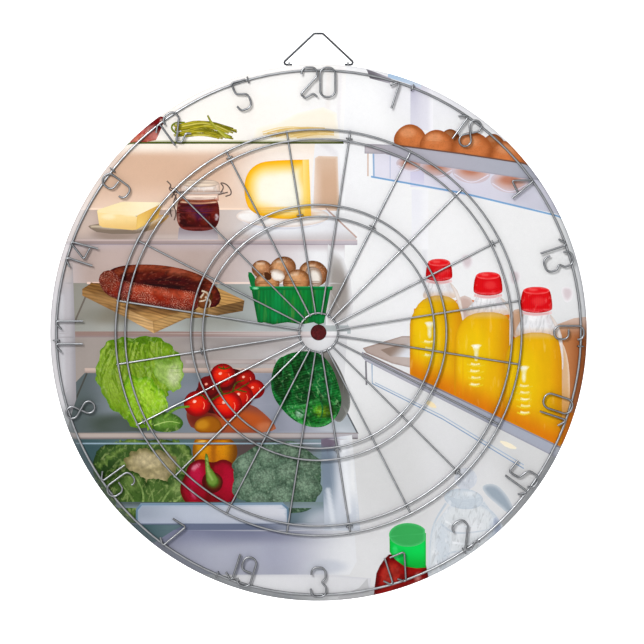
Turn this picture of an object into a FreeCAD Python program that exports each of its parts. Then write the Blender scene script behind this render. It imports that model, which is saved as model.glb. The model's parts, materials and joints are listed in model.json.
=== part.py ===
import FreeCAD, Part
import math
import os

# Steel-tip dartboard: a pressed-fibre disc with a printed face wrapped over its rounded front edge,
# a raised wire spider, a wire number ring and a swinging wire hanger. Millimetres.
# Frame: origin at the centre of the flat back, +Y out of the back (towards the wall), +Z up,
# +X to the player's right. The face looks along -Y. Clock angles run clockwise from the top.

# Board
BOARD_RADIUS = 225.5
BOARD_THICKNESS = 25.0
EDGE_RADIUS = 6.0
SKIN = 0.5
GLUE_LINE = 0.05
PANEL_THICKNESS = 2.5
PANEL_RADIUS = 224.4

# Steel band round the rim, behind the turned-over print
BAND_THICKNESS = 0.5
BAND_FRONT = -17.5
BAND_BACK = -0.5
BAND_GAP = 0.8
JOINT_LENGTH = 32.0
JOINT_WIDTH = 11.0
JOINT_CENTRE_Y = -9.0
RIVET_RADIUS = 1.0
RIVET_HEAD_RADIUS = 1.9
RIVET_HEAD = 0.5
RIVET_SPREAD_X = 9.0
RIVET_SPREAD_Y = 3.0

# Scoring rings of the spider: centre-line radii
BULL_RING_RADIUS = 16.3
TREBLE_INNER = 97.0
TREBLE_OUTER = 107.0
DOUBLE_INNER = 162.0
DOUBLE_OUTER = 170.0
SECTORS = 20
RING_WIRE = 0.85
RADIAL_WIRE = 0.75
BULL_WIRE = 0.8
RADIAL_START = 15.3
RADIAL_END = 171.3
BULL_PLUG_RADIUS = 6.65
BULL_PLUG_DEPTH = 12.0
BULL_PLUG_PROUD = 0.3

# Number ring and wire digits
NUMBER_RING_RADIUS = 219.7
NUMBER_RING_WIRE = 1.0
DIGIT_WIRE = 0.85
RING_IN_UPRIGHT = 10.2
RING_IN_INVERTED = 10.8

# Staples
WELD_GAP = 0.02
HOLE_GAP = 0.05
SPIDER_STAPLE_WIRE = 0.55
SPIDER_STAPLE_HALF = 2.3
SPIDER_STAPLE_STEP = 2.4
STAPLE_DEPTH = 9.0
CLIP_WIRE = 0.6
CLIP_HALF = 2.4
NAIL_RADIUS = 0.8
NAIL_HEAD_RADIUS = 2.3
NAIL_HEAD = 0.8
NAIL_LENGTH = 11.0
NAIL_COUNT = 8
NAIL_CIRCLE = 207.0

# Hanger: a triangular wire bail whose turned-in feet are the hinge
BAIL_WIRE = 0.9
BAIL_Y = -12.5
BAIL_CLEARANCE = 0.3
BAIL_FOOT_IN = 22.0
BAIL_CORNER_X = 31.5
BAIL_TOP_HALF = 3.6
BAIL_TOP_Z = 251.8
BAIL_FOOT_BEND = 1.8
BAIL_TOP_BEND = 2.0
HANGER_STAPLE_X = 24.8
HANGER_STAPLE_WIRE = 0.6
HANGER_STAPLE_DEPTH = 13.0

FACE_Y = -BOARD_THICKNESS
SIDE_AXIS = FreeCAD.Vector(0, 1, 0)
ORIGIN = FreeCAD.Vector(0, 0, 0)
RIM_FLAT_Y = FACE_Y + EDGE_RADIUS

# Clock angles of the radial wires that carry a staple, and of the clips over the number ring
DOUBLE_STAPLES = (9, 63, 135, 171, 243, 333)
TREBLE_STAPLES = (27, 171, 261, 351)
CLIP_ANGLES = (21.0, 93.0, 146.3, 202.7, 268.3, 308.3, 344.4)

NUMBER_ORDER = (20, 1, 18, 4, 13, 6, 10, 15, 2, 17, 3, 19, 7, 16, 8, 11, 14, 9, 12, 5)
# Numbers read upright from the front: in the lower part of the ring their tops point inwards.
INVERTED = (10, 15, 2, 17, 3, 19, 7, 16)

# Distance between the two digits' own centre lines, where a number has two
PAIR_PITCH = {20: 15.2, 18: 9.4, 13: 11.0, 10: 10.8, 15: 9.6, 17: 11.4,
              19: 9.8, 16: 11.2, 11: 19.0, 14: 10.6, 12: 10.0}

# Centre line of each digit, 25 mm tall about its own middle: corner points (x right, y up) with the
# bend radius at each inner corner. The ends have no bend.
DIGITS = {
    "0": [(-6.3, 0.15, 0), (-6.3, 12.3, 5.6), (6.3, 12.3, 5.6), (6.3, -12.3, 5.6),
          (-6.3, -12.3, 5.6), (-6.3, -0.15, 0)],
    "1": [(0, -12.3, 0), (0, 12.2, 1.7), (-6.8, 5.6, 0)],
    "2": [(-6.6, 6.6, 0), (-6.1, 12.4, 4.7), (6.3, 12.6, 5.0), (6.3, 4.8, 3.6), (-7.4, -10.2, 1.7),
          (-3.6, -13.3, 2.0), (3.2, -9.3, 2.2), (6.6, -12.2, 0)],
    "3": [(-6.0, 6.0, 0), (-5.7, 12.3, 4.8), (5.8, 12.3, 5.0), (6.0, 3.4, 3.2), (2.6, -0.3, 1.4),
          (6.4, -3.8, 3.0), (6.2, -12.3, 4.8), (-6.3, -12.3, 5.2), (-6.4, -5.4, 0)],
    "4": [(4.4, -12.4, 0), (3.0, 12.3, 1.0), (-7.6, -3.8, 1.1), (2.93, -5.7, 0)],
    "5": [(6.9, 11.0, 0), (-5.3, 11.7, 2.0), (-4.3, 1.7, 2.8), (5.4, -1.2, 4.2), (6.0, -12.9, 5.0),
          (-4.4, -13.0, 3.6), (-6.3, -8.4, 0)],
    "6": [(5.8, 7.2, 0), (6.0, 12.4, 4.5), (-5.6, 12.4, 4.8), (-5.6, -12.4, 5.4), (5.6, -12.4, 5.4),
          (5.6, -0.4, 4.4), (-2.6, -0.1, 0)],
    "7": [(-7.2, 11.2, 0), (5.8, 12.2, 1.4), (-0.6, -12.2, 1.4), (-6.4, -7.6, 0)],
    "9": [(-5.8, -7.2, 0), (-6.0, -12.4, 4.5), (5.6, -12.4, 4.8), (5.6, 12.4, 5.4),
          (-5.6, 12.4, 5.4), (-5.6, 0.4, 4.4), (4.0, 0.0, 0)],
}
EIGHT_LOOP = 4.9
EIGHT_CENTRE = 7.3


def clock(angle, radius, y):
    """The point at a clock angle, a distance from the axis and a depth."""
    turn = math.radians(angle)
    return FreeCAD.Vector(radius * math.sin(turn), y, radius * math.cos(turn))


def outward(angle):
    """Unit vector away from the axis at a clock angle."""
    return clock(angle, 1, 0)


def clockwise(angle):
    """Unit vector along the circumference at a clock angle."""
    turn = math.radians(angle)
    return FreeCAD.Vector(math.cos(turn), 0, -math.sin(turn))


def bent_edges(points, bends):
    """Straight runs between the points, joined by tangent arcs of the given bend radii."""
    edges = []
    start = points[0]
    for corner, before, after, bend in zip(points[1:-1], points, points[2:], bends):
        back = (before - corner).normalize()
        ahead = (after - corner).normalize()
        half = back.getAngle(ahead) / 2
        first = corner + back * (bend / math.tan(half))
        last = corner + ahead * (bend / math.tan(half))
        inside = (back + ahead).normalize()
        middle = corner + inside * (bend / math.sin(half) - bend)
        if start.distanceToPoint(first) > 0.001:
            edges.append(Part.LineSegment(start, first).toShape())
        edges.append(Part.Arc(first, middle, last).toShape())
        start = last
    edges.append(Part.LineSegment(start, points[-1]).toShape())
    return edges


def wire_along(edges, radius):
    """Round wire swept along joined edges."""
    path = Part.Wire(edges)
    first = edges[0]
    direction = first.tangentAt(first.FirstParameter)
    section = Part.Wire(Part.Circle(first.valueAt(first.FirstParameter), direction, radius).toShape())
    return path.makePipeShell([section], True, False)


def ring(radius, wire, y):
    """Closed wire ring about the board's axis."""
    return Part.makeTorus(radius, wire, FreeCAD.Vector(0, y, 0), SIDE_AXIS)


def rod(start, end, radius):
    """Straight round bar."""
    return Part.makeCylinder(radius, start.distanceToPoint(end), start, end - start)


def turned(outline):
    """Solid of revolution about the board's axis, from an outline of (radius, y) edges."""
    return Part.Face(Part.Wire(outline)).revolve(ORIGIN, SIDE_AXIS, 360)


def line(start, end):
    """Straight outline edge between two (radius, y) points."""
    return Part.LineSegment(FreeCAD.Vector(*start, 0), FreeCAD.Vector(*end, 0)).toShape()


def edge_arc(inset, start_turn, end_turn):
    """Outline arc of the rounded front edge, inset from the board's outer surface."""
    radius = EDGE_RADIUS - inset
    centre = (BOARD_RADIUS - EDGE_RADIUS, RIM_FLAT_Y)
    points = []
    for turn in (start_turn, (start_turn + end_turn) / 2, end_turn):
        angle = math.radians(turn)
        points.append(FreeCAD.Vector(centre[0] + radius * math.cos(angle), centre[1] - radius * math.sin(angle), 0))
    return Part.Arc(*points).toShape()


def radial_y(radius):
    """Depth of a radial wire's centre line: it rides over the bull ring and slopes down to the face."""
    high = FACE_Y - 2 * BULL_WIRE - RADIAL_WIRE - 2 * WELD_GAP
    low = FACE_Y - RADIAL_WIRE - WELD_GAP
    share = (radius - BULL_RING_RADIUS) / (RADIAL_END - BULL_RING_RADIUS)
    return high + (low - high) * share


def ring_y(radius):
    """Depth of a scoring ring's centre line, welded on the front of the radial wires."""
    return radial_y(radius) - RADIAL_WIRE - RING_WIRE - WELD_GAP


def staple(centre, across, half, bend, depth, wire):
    """U-shaped staple: the crown passes through centre, the legs run back into the board."""
    back = FreeCAD.Vector(0, depth, 0)
    left = centre - across * half
    right = centre + across * half
    return wire_along(bent_edges([left + back, left, right, right + back], [bend, bend]), wire)


def leg_holes(centre, across, half, depth, wire):
    """The two holes that a staple's legs make."""
    back = FreeCAD.Vector(0, depth + HOLE_GAP, 0)
    holes = []
    for side in (-1, 1):
        top = centre + across * (half * side)
        holes.append(rod(top, top + back, wire + HOLE_GAP))
    return holes


def figure_eight():
    """Centre line of the 8: two loops joined by crossing runs, its ends butted on the crossing."""
    tilt = math.asin(EIGHT_LOOP / EIGHT_CENTRE)
    reach = math.sqrt(EIGHT_CENTRE ** 2 - EIGHT_LOOP ** 2)
    crossing = 2 * tilt
    gap = (DIGIT_WIRE + WELD_GAP + DIGIT_WIRE * abs(math.cos(crossing))) / math.sin(crossing)
    side = (math.sin(tilt), math.cos(tilt))
    top = (0, EIGHT_CENTRE + EIGHT_LOOP)
    runs = [
        ("line", (gap * side[0], gap * side[1]), (reach * side[0], reach * side[1])),
        ("arc", (reach * side[0], reach * side[1]), top, (-reach * side[0], reach * side[1])),
        ("line", (-reach * side[0], reach * side[1]), (reach * side[0], -reach * side[1])),
        ("arc", (reach * side[0], -reach * side[1]), (0, -top[1]), (-reach * side[0], -reach * side[1])),
        ("line", (-reach * side[0], -reach * side[1]), (-gap * side[0], -gap * side[1])),
    ]
    return runs


def digit_solid(digit, place):
    """One wire digit. place turns a digit's own (x, y) into a point on the board."""
    if digit == "8":
        edges = []
        for run in figure_eight():
            points = [place(*point) for point in run[1:]]
            if run[0] == "line":
                edges.append(Part.LineSegment(*points).toShape())
            else:
                edges.append(Part.Arc(*points).toShape())
        return wire_along(edges, DIGIT_WIRE)
    corners = list(DIGITS[digit])
    points = [place(x, y) for x, y, bend in corners]
    return wire_along(bent_edges(points, [bend for x, y, bend in corners[1:-1]]), DIGIT_WIRE)


def number_solid(number, angle):
    """The wire digits of one number, side by side at its clock angle, crossing the number ring."""
    inverted = number in INVERTED
    up = outward(angle) * (-1 if inverted else 1)
    right = clockwise(angle) * (-1 if inverted else 1)
    ring_offset = RING_IN_INVERTED if inverted else RING_IN_UPRIGHT
    depth = FACE_Y - 2 * NUMBER_RING_WIRE - DIGIT_WIRE - 2 * WELD_GAP
    middle = clock(angle, NUMBER_RING_RADIUS - ring_offset, depth)
    text = str(number)
    pitch = PAIR_PITCH.get(number, 0)
    solids = []
    for index, digit in enumerate(text):
        shift = pitch * (index - (len(text) - 1) / 2)
        flip = -1 if inverted and digit == "1" else 1
        centre = middle + right * shift
        solids.append(digit_solid(digit, lambda x, y: centre + right * x + up * (y * flip)))
    return solids[0] if len(solids) == 1 else Part.makeCompound(solids)


def save(node, shape):
    """Write one node's STEP file."""
    if not shape.isValid():
        print("invalid shape:", node)
    shape.exportStep("parts/" + node + ".step")


os.makedirs("parts", exist_ok=True)

# Where every staple sits: crown centre, direction across, half span, wire radius
spider_places = []
for radius, angles in ((DOUBLE_INNER, DOUBLE_STAPLES), (TREBLE_INNER, TREBLE_STAPLES)):
    station = radius + SPIDER_STAPLE_STEP
    for angle in angles:
        crown_y = radial_y(station) - RADIAL_WIRE - SPIDER_STAPLE_WIRE - WELD_GAP
        spider_places.append((clock(angle, station, crown_y), clockwise(angle)))

clip_places = []
for angle in CLIP_ANGLES:
    crown_y = FACE_Y - 2 * NUMBER_RING_WIRE - CLIP_WIRE - 2 * WELD_GAP
    clip_places.append((clock(angle, NUMBER_RING_RADIUS, crown_y), outward(angle)))

front_depth = STAPLE_DEPTH + 3.0
face_holes = []
for centre, across in spider_places:
    face_holes += leg_holes(centre, across, SPIDER_STAPLE_HALF, front_depth, SPIDER_STAPLE_WIRE)
for centre, across in clip_places:
    face_holes += leg_holes(centre, across, CLIP_HALF, front_depth, CLIP_WIRE)

# Bull plug: a fibre plug pressed into a socket in the middle of the face
plug_front = FACE_Y - BULL_PLUG_PROUD
plug_back = FACE_Y + BULL_PLUG_DEPTH
bull_plug = rod(FreeCAD.Vector(0, plug_back, 0), FreeCAD.Vector(0, plug_front, 0), BULL_PLUG_RADIUS)
front_rim = [edge for edge in bull_plug.Edges if abs(edge.BoundBox.YMax - plug_front) < 0.01]
bull_plug = bull_plug.makeChamfer(0.25, front_rim)
face_holes.append(rod(FreeCAD.Vector(0, plug_back + HOLE_GAP, 0), FreeCAD.Vector(0, FACE_Y - 1, 0),
                      BULL_PLUG_RADIUS + HOLE_GAP))

# Hanger: feet on the crown of the rim, just clear of it at their inner ends
rim_at_foot = math.sqrt(BOARD_RADIUS ** 2 - BAIL_FOOT_IN ** 2)
bail_axis_z = rim_at_foot + BAIL_WIRE + BAIL_CLEARANCE
bail_points = []
for x, z in ((BAIL_FOOT_IN, bail_axis_z), (BAIL_CORNER_X, bail_axis_z), (BAIL_TOP_HALF, BAIL_TOP_Z),
             (-BAIL_TOP_HALF, BAIL_TOP_Z), (-BAIL_CORNER_X, bail_axis_z), (-BAIL_FOOT_IN, bail_axis_z)):
    bail_points.append(FreeCAD.Vector(x, BAIL_Y, z))
bail_bends = [BAIL_FOOT_BEND, BAIL_TOP_BEND, BAIL_TOP_BEND, BAIL_FOOT_BEND]
hanger_bail = wire_along(bent_edges(bail_points, bail_bends), BAIL_WIRE)

# Each foot turns under a staple driven down through the band into the rim
staple_half = BAIL_WIRE + BAIL_CLEARANCE + HANGER_STAPLE_WIRE
hanger_staples = {}
rim_holes = []
for side, name in ((-1, "hanger_staple_left"), (1, "hanger_staple_right")):
    axis = FreeCAD.Vector(side * HANGER_STAPLE_X, BAIL_Y, bail_axis_z)
    front = axis + FreeCAD.Vector(0, -staple_half, 0)
    rear = axis + FreeCAD.Vector(0, staple_half, 0)
    down = FreeCAD.Vector(0, 0, -HANGER_STAPLE_DEPTH)
    crown = axis + FreeCAD.Vector(0, 0, staple_half)
    edges = [Part.LineSegment(front + down, front).toShape(), Part.Arc(front, crown, rear).toShape(),
             Part.LineSegment(rear, rear + down).toShape()]
    hanger_staples[name] = wire_along(edges, HANGER_STAPLE_WIRE)
    for leg in (front, rear):
        end = leg + down + FreeCAD.Vector(0, 0, -HOLE_GAP)
        rim_holes.append(rod(leg, end, HANGER_STAPLE_WIRE + HOLE_GAP))

# Printed face: a thin skin over the front, round the edge and a little way down the side
outer_side = (BOARD_RADIUS, BAND_FRONT - GLUE_LINE)
inner_side = (BOARD_RADIUS - SKIN, BAND_FRONT - GLUE_LINE)
edge_start = BOARD_RADIUS - EDGE_RADIUS
skin_outline = [
    line((0, FACE_Y), (edge_start, FACE_Y)),
    edge_arc(0, 90, 0),
    line((BOARD_RADIUS, RIM_FLAT_Y), outer_side),
    line(outer_side, inner_side),
    line(inner_side, (BOARD_RADIUS - SKIN, RIM_FLAT_Y)),
    edge_arc(SKIN, 0, 90),
    line((edge_start, FACE_Y + SKIN), (0, FACE_Y + SKIN)),
    line((0, FACE_Y + SKIN), (0, FACE_Y)),
]
printed_face = turned(skin_outline).cut(Part.makeCompound(face_holes))

# Core: pressed fibre, one glue line inside the skin and the band
core_inset = SKIN + GLUE_LINE
core_side = BOARD_RADIUS - core_inset
core_outline = [
    line((0, FACE_Y + core_inset), (edge_start, FACE_Y + core_inset)),
    edge_arc(core_inset, 90, 0),
    line((core_side, RIM_FLAT_Y), (core_side, -PANEL_THICKNESS)),
    line((core_side, -PANEL_THICKNESS), (0, -PANEL_THICKNESS)),
    line((0, -PANEL_THICKNESS), (0, FACE_Y + core_inset)),
]
fibre_core = turned(core_outline)

# Back panel and its flush-headed nails
panel = Part.makeCylinder(PANEL_RADIUS, PANEL_THICKNESS, FreeCAD.Vector(0, -PANEL_THICKNESS, 0), SIDE_AXIS)
nails = []
nail_holes = []
for index in range(NAIL_COUNT):
    angle = 360 / NAIL_COUNT * (index + 0.5)
    head_top = clock(angle, NAIL_CIRCLE, -0.2)
    head_under = clock(angle, NAIL_CIRCLE, -0.2 - NAIL_HEAD)
    tip = clock(angle, NAIL_CIRCLE, -NAIL_LENGTH)
    nails.append(rod(head_under, head_top, NAIL_HEAD_RADIUS).fuse(rod(tip, head_under, NAIL_RADIUS)))
    nail_holes.append(rod(head_under, clock(angle, NAIL_CIRCLE, 1), NAIL_HEAD_RADIUS + HOLE_GAP))
    nail_holes.append(rod(tip + FreeCAD.Vector(0, -HOLE_GAP, 0), head_top, NAIL_RADIUS + HOLE_GAP))
back_panel = panel.cut(Part.makeCompound(nail_holes))

# Rim band: a steel strip whose ends meet at the bottom over a joint plate, held by four rivets
band_inner = BOARD_RADIUS - BAND_THICKNESS
band_outline = [
    line((band_inner, BAND_FRONT), (BOARD_RADIUS, BAND_FRONT)),
    line((BOARD_RADIUS, BAND_FRONT), (BOARD_RADIUS, BAND_BACK)),
    line((BOARD_RADIUS, BAND_BACK), (band_inner, BAND_BACK)),
    line((band_inner, BAND_BACK), (band_inner, BAND_FRONT)),
]
band_gap = Part.makeBox(BAND_GAP, 40, 20, FreeCAD.Vector(-BAND_GAP / 2, -30, -BOARD_RADIUS - 10))
plate_outer = band_inner - GLUE_LINE
plate_inner = plate_outer - BAND_THICKNESS
plate_front = JOINT_CENTRE_Y - JOINT_WIDTH / 2
plate_back = JOINT_CENTRE_Y + JOINT_WIDTH / 2
plate_outline = [
    line((plate_inner, plate_front), (plate_outer, plate_front)),
    line((plate_outer, plate_front), (plate_outer, plate_back)),
    line((plate_outer, plate_back), (plate_inner, plate_back)),
    line((plate_inner, plate_back), (plate_inner, plate_front)),
]
plate_window = Part.makeBox(JOINT_LENGTH, 40, 40, FreeCAD.Vector(-JOINT_LENGTH / 2, -30, -BOARD_RADIUS - 10))
rivets = []
rivet_holes = []
for x in (-RIVET_SPREAD_X, RIVET_SPREAD_X):
    for y in (JOINT_CENTRE_Y - RIVET_SPREAD_Y, JOINT_CENTRE_Y + RIVET_SPREAD_Y):
        angle = 180 - math.degrees(math.asin(x / BOARD_RADIUS))
        under_head = clock(angle, BOARD_RADIUS + 0.02, y)
        under_tail = clock(angle, plate_inner - 0.02, y)
        head = rod(under_head, clock(angle, BOARD_RADIUS + RIVET_HEAD, y), RIVET_HEAD_RADIUS)
        tail = rod(clock(angle, plate_inner - RIVET_HEAD, y), under_tail, RIVET_HEAD_RADIUS)
        shank = rod(under_tail, under_head, RIVET_RADIUS)
        rivets.append(shank.fuse([head, tail]))
        rivet_holes.append(rod(under_tail, under_head, RIVET_RADIUS + HOLE_GAP))
rim_band = turned(band_outline).cut(Part.makeCompound([band_gap] + rivet_holes + rim_holes))
joint_plate = turned(plate_outline).common(plate_window).cut(Part.makeCompound(rivet_holes))
pocket_depth = BAND_THICKNESS + RIVET_HEAD + 0.3
plate_pocket = Part.makeBox(JOINT_LENGTH + 1, JOINT_WIDTH + 1, 20,
                            FreeCAD.Vector(-JOINT_LENGTH / 2 - 0.5, plate_front - 0.5, -BOARD_RADIUS - 10))
pocket_core = Part.makeCylinder(plate_outer - pocket_depth, 40, FreeCAD.Vector(0, -35, 0), SIDE_AXIS)
plate_pocket = plate_pocket.cut(pocket_core)
fibre_core = fibre_core.cut(Part.makeCompound(face_holes + rim_holes + nail_holes + [plate_pocket]))

save("back_panel", back_panel)
save("back_panel_nails", Part.makeCompound(nails))
save("fibre_core", fibre_core)
save("printed_face", printed_face)
save("rim_band", rim_band)
save("rim_band_joint_plate", joint_plate)
save("rim_band_rivets", Part.makeCompound(rivets))
save("bull_plug", bull_plug)

# Spider: the bull ring lies on the face, the radial wires ride over it, the rings lie on the radials
save("bull_ring", ring(BULL_RING_RADIUS, BULL_WIRE, FACE_Y - BULL_WIRE - WELD_GAP))
save("treble_inner_ring", ring(TREBLE_INNER, RING_WIRE, ring_y(TREBLE_INNER)))
save("treble_outer_ring", ring(TREBLE_OUTER, RING_WIRE, ring_y(TREBLE_OUTER)))
save("double_inner_ring", ring(DOUBLE_INNER, RING_WIRE, ring_y(DOUBLE_INNER)))
save("double_outer_ring", ring(DOUBLE_OUTER, RING_WIRE, ring_y(DOUBLE_OUTER)))
for index in range(SECTORS):
    angle = 360 / SECTORS * (index + 0.5)
    inner_end = clock(angle, RADIAL_START, radial_y(RADIAL_START))
    outer_end = clock(angle, RADIAL_END, radial_y(RADIAL_END))
    save("radial_wire_%02d" % (index + 1), rod(inner_end, outer_end, RADIAL_WIRE))
spider_staples = [staple(centre, across, SPIDER_STAPLE_HALF, 0.9, STAPLE_DEPTH, SPIDER_STAPLE_WIRE)
                  for centre, across in spider_places]
save("spider_staples", Part.makeCompound(spider_staples))

# Number ring, its clips and the numbers
save("number_ring", ring(NUMBER_RING_RADIUS, NUMBER_RING_WIRE, FACE_Y - NUMBER_RING_WIRE - WELD_GAP))
number_clips = [staple(centre, across, CLIP_HALF, 1.0, STAPLE_DEPTH, CLIP_WIRE)
                for centre, across in clip_places]
save("number_ring_clips", Part.makeCompound(number_clips))
for index, number in enumerate(NUMBER_ORDER):
    save("number_%d" % number, number_solid(number, 360 / SECTORS * index))

save("hanger_bail", hanger_bail)
for name, shape in hanger_staples.items():
    save(name, shape)
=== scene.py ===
import json
import math
import random

import bmesh
import bpy
import numpy as np
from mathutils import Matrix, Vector
from mathutils.geometry import delaunay_2d_cdt


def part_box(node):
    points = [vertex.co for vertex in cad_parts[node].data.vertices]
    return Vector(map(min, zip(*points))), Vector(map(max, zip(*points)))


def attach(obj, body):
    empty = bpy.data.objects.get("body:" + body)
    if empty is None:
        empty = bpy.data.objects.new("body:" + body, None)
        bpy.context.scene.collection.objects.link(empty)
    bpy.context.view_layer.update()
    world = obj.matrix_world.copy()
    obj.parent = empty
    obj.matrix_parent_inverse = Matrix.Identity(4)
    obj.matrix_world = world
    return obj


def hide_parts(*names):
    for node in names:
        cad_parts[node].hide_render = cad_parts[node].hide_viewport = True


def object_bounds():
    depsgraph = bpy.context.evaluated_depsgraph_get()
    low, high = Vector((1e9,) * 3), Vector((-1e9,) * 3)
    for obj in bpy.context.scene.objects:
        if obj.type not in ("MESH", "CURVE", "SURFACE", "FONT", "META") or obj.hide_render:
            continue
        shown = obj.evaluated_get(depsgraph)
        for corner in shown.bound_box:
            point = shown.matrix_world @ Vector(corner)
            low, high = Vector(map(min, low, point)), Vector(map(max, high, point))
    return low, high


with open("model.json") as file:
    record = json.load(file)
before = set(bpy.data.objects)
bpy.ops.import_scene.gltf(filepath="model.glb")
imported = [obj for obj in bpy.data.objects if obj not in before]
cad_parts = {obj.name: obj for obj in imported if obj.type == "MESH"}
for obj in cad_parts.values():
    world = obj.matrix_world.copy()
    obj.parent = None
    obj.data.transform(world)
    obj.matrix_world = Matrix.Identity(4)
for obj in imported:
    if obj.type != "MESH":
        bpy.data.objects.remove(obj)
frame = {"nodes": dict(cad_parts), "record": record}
cad_low, cad_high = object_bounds()

MM = 0.001
FACE_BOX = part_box("printed_face")
PLUG_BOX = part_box("bull_plug")
FACE_Y = FACE_BOX[0][1] / MM
LIP_Y = FACE_BOX[1][1] / MM
RADIUS = FACE_BOX[1][0] / MM
EDGE = 6.0
SKIN = 0.5
FLAT = RADIUS - EDGE
ARC = EDGE * math.pi / 2
SHEET_RADIUS = FLAT + ARC + (LIP_Y - FACE_Y - EDGE)
PLUG_HOLE = PLUG_BOX[1][0] / MM + 0.05
# the print's mesh: a grid of near-equilateral triangles, rings round the edge and the plug's hole
GRID = 1.8
ROW_RATIO = 0.866
GRID_MARGIN = 0.8
EDGE_RINGS = 6
RIM_STEPS = 360
HOLE_STEPS = 48
MERGE = 1e-4
# ink is a little denser than the colour asked for, and never quite black
INK_DENSITY = 0.012
INK_FLOOR = 0.002
PAPER = (0.8, 0.77, 0.7, 1)
# the turned-over edge gets painted shade and painted light outside this radius
SHADED_FROM = 219


# ---------------------------------------------------------------- outlines of the print, in millimetres
def smooth(points, rounds=2, closed=True):
    """Chaikin corner cutting: a soft outline from few points."""
    pts = [tuple(map(float, p)) for p in points]
    for _ in range(rounds):
        out = [] if closed else [pts[0]]
        count = len(pts) if closed else len(pts) - 1
        for i in range(count):
            a, b = pts[i], pts[(i + 1) % len(pts)]
            out.append((0.75 * a[0] + 0.25 * b[0], 0.75 * a[1] + 0.25 * b[1]))
            out.append((0.25 * a[0] + 0.75 * b[0], 0.25 * a[1] + 0.75 * b[1]))
        if not closed:
            out.append(pts[-1])
        pts = out
    return pts


def oval(cx, cz, rx, rz, turn=0.0, steps=30):
    """An ellipse, turned by an angle in degrees."""
    c, s = math.cos(math.radians(turn)), math.sin(math.radians(turn))
    out = []
    for i in range(steps):
        a = 2 * math.pi * i / steps
        x, z = rx * math.cos(a), rz * math.sin(a)
        out.append((cx + c * x - s * z, cz + s * x + c * z))
    return out


def rect(x0, z0, x1, z1):
    return [(x0, z0), (x1, z0), (x1, z1), (x0, z1)]


def frilled(points, size, seed, rounds=3):
    """A soft outline whose edge is frilled like a leaf's."""
    pts = smooth(points, rounds)
    rng = random.Random(seed)
    waves = [(rng.uniform(0.3, 1.1), rng.uniform(0, 6.3), rng.uniform(0.3, 0.8)) for _ in range(4)]
    out = []
    for i, p in enumerate(pts):
        a, b = pts[i - 1], pts[(i + 1) % len(pts)]
        dx, dz = b[0] - a[0], b[1] - a[1]
        wave = sum(w * math.sin(f * i + s) for f, s, w in waves)
        push = size * (wave + rng.uniform(-0.5, 0.5)) / (math.hypot(dx, dz) or 1.0)
        out.append((p[0] + dz * push, p[1] - dx * push))
    return out


def ribbon(points, width, end_width=None, rounds=2):
    """A band of even or tapering width along a soft line."""
    line = smooth(points, rounds, False)
    end_width = width if end_width is None else end_width
    left, right = [], []
    for i, p in enumerate(line):
        a, b = line[max(i - 1, 0)], line[min(i + 1, len(line) - 1)]
        dx, dz = b[0] - a[0], b[1] - a[1]
        size = math.hypot(dx, dz) or 1.0
        half = (width + (end_width - width) * i / (len(line) - 1)) / 2
        left.append((p[0] - dz / size * half, p[1] + dx / size * half))
        right.append((p[0] + dz / size * half, p[1] - dx / size * half))
    return left + right[::-1]


def sausage_outline(points, width, rounds=3):
    """A ribbon with round ends."""
    line = smooth(points, rounds, False)
    body = ribbon(points, width, None, rounds)
    half = len(line)

    def cap(centre, toward):
        base = math.atan2(toward[1] - centre[1], toward[0] - centre[0])
        return [(centre[0] + width / 2 * math.cos(base + math.radians(a)),
                 centre[1] + width / 2 * math.sin(base + math.radians(a))) for a in (-60, -30, 0, 30, 60)]

    end_dir = (2 * line[-1][0] - line[-2][0], 2 * line[-1][1] - line[-2][1])
    start_dir = (2 * line[0][0] - line[1][0], 2 * line[0][1] - line[1][1])
    return body[:half] + cap(line[-1], end_dir)[::-1] + body[half:] + cap(line[0], start_dir)[::-1]


# ---------------------------------------------------------------- ink: layers of colour on a shape
def srgb(colour):
    return np.array(colour, dtype=float) / 255.0


def toned(colour, tone):
    return tuple(min(255, int(v * tone)) for v in colour)


def lifted(colour, by):
    return tuple(min(255, v + by) for v in colour)


def lerp(base, colour, weight):
    return base + (srgb(colour) - base) * weight[:, None]


def soft_step(t):
    t = np.clip(t, 0.0, 1.0)
    return t * t * (3 - 2 * t)


def line_distance(xz, points, closed=False):
    pts = np.array(points, dtype=float)
    ends = np.roll(pts, -1, axis=0) if closed else pts[1:]
    starts = pts if closed else pts[:-1]
    best = np.full(len(xz), 1e9)
    for a, b in zip(starts, ends):
        d = b - a
        t = np.clip(((xz - a) @ d) / max(float(d @ d), 1e-9), 0, 1)
        best = np.minimum(best, np.hypot(*(xz - a - t[:, None] * d).T))
    return best


def ramp(start, end, colour, strength=1.0):
    """Blends towards a colour along a line."""
    a, b = np.array(start, float), np.array(end, float)
    d = b - a
    return lambda xz, c, o: lerp(c, colour, strength * soft_step(((xz - a) @ d) / (d @ d)))


def across(x0, x1, colour, strength=1.0):
    return ramp((x0, 0), (x1, 0), colour, strength)


def upward(z0, z1, colour, strength=1.0):
    return ramp((0, z0), (0, z1), colour, strength)


def spot(cx, cz, rx, rz, colour, strength=0.8, turn=0.0):
    """A soft round patch."""
    co, si = math.cos(math.radians(turn)), math.sin(math.radians(turn))

    def layer(xz, c, o):
        x, z = xz[:, 0] - cx, xz[:, 1] - cz
        d = np.hypot((x * co + z * si) / rx, (z * co - x * si) / rz)
        return lerp(c, colour, strength * soft_step((1.0 - d) * 1.6))
    return layer


def streak(points, width, colour, strength=0.8):
    """A soft line."""
    return lambda xz, c, o: lerp(c, colour,
                                 strength * soft_step(1.4 * (1 - line_distance(xz, points) / width)))


def rim(width, colour, strength=0.8):
    """Shades a shape towards its own outline."""
    return lambda xz, c, o: lerp(c, colour, strength * soft_step(1.0 - line_distance(xz, o, True) / width))


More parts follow.
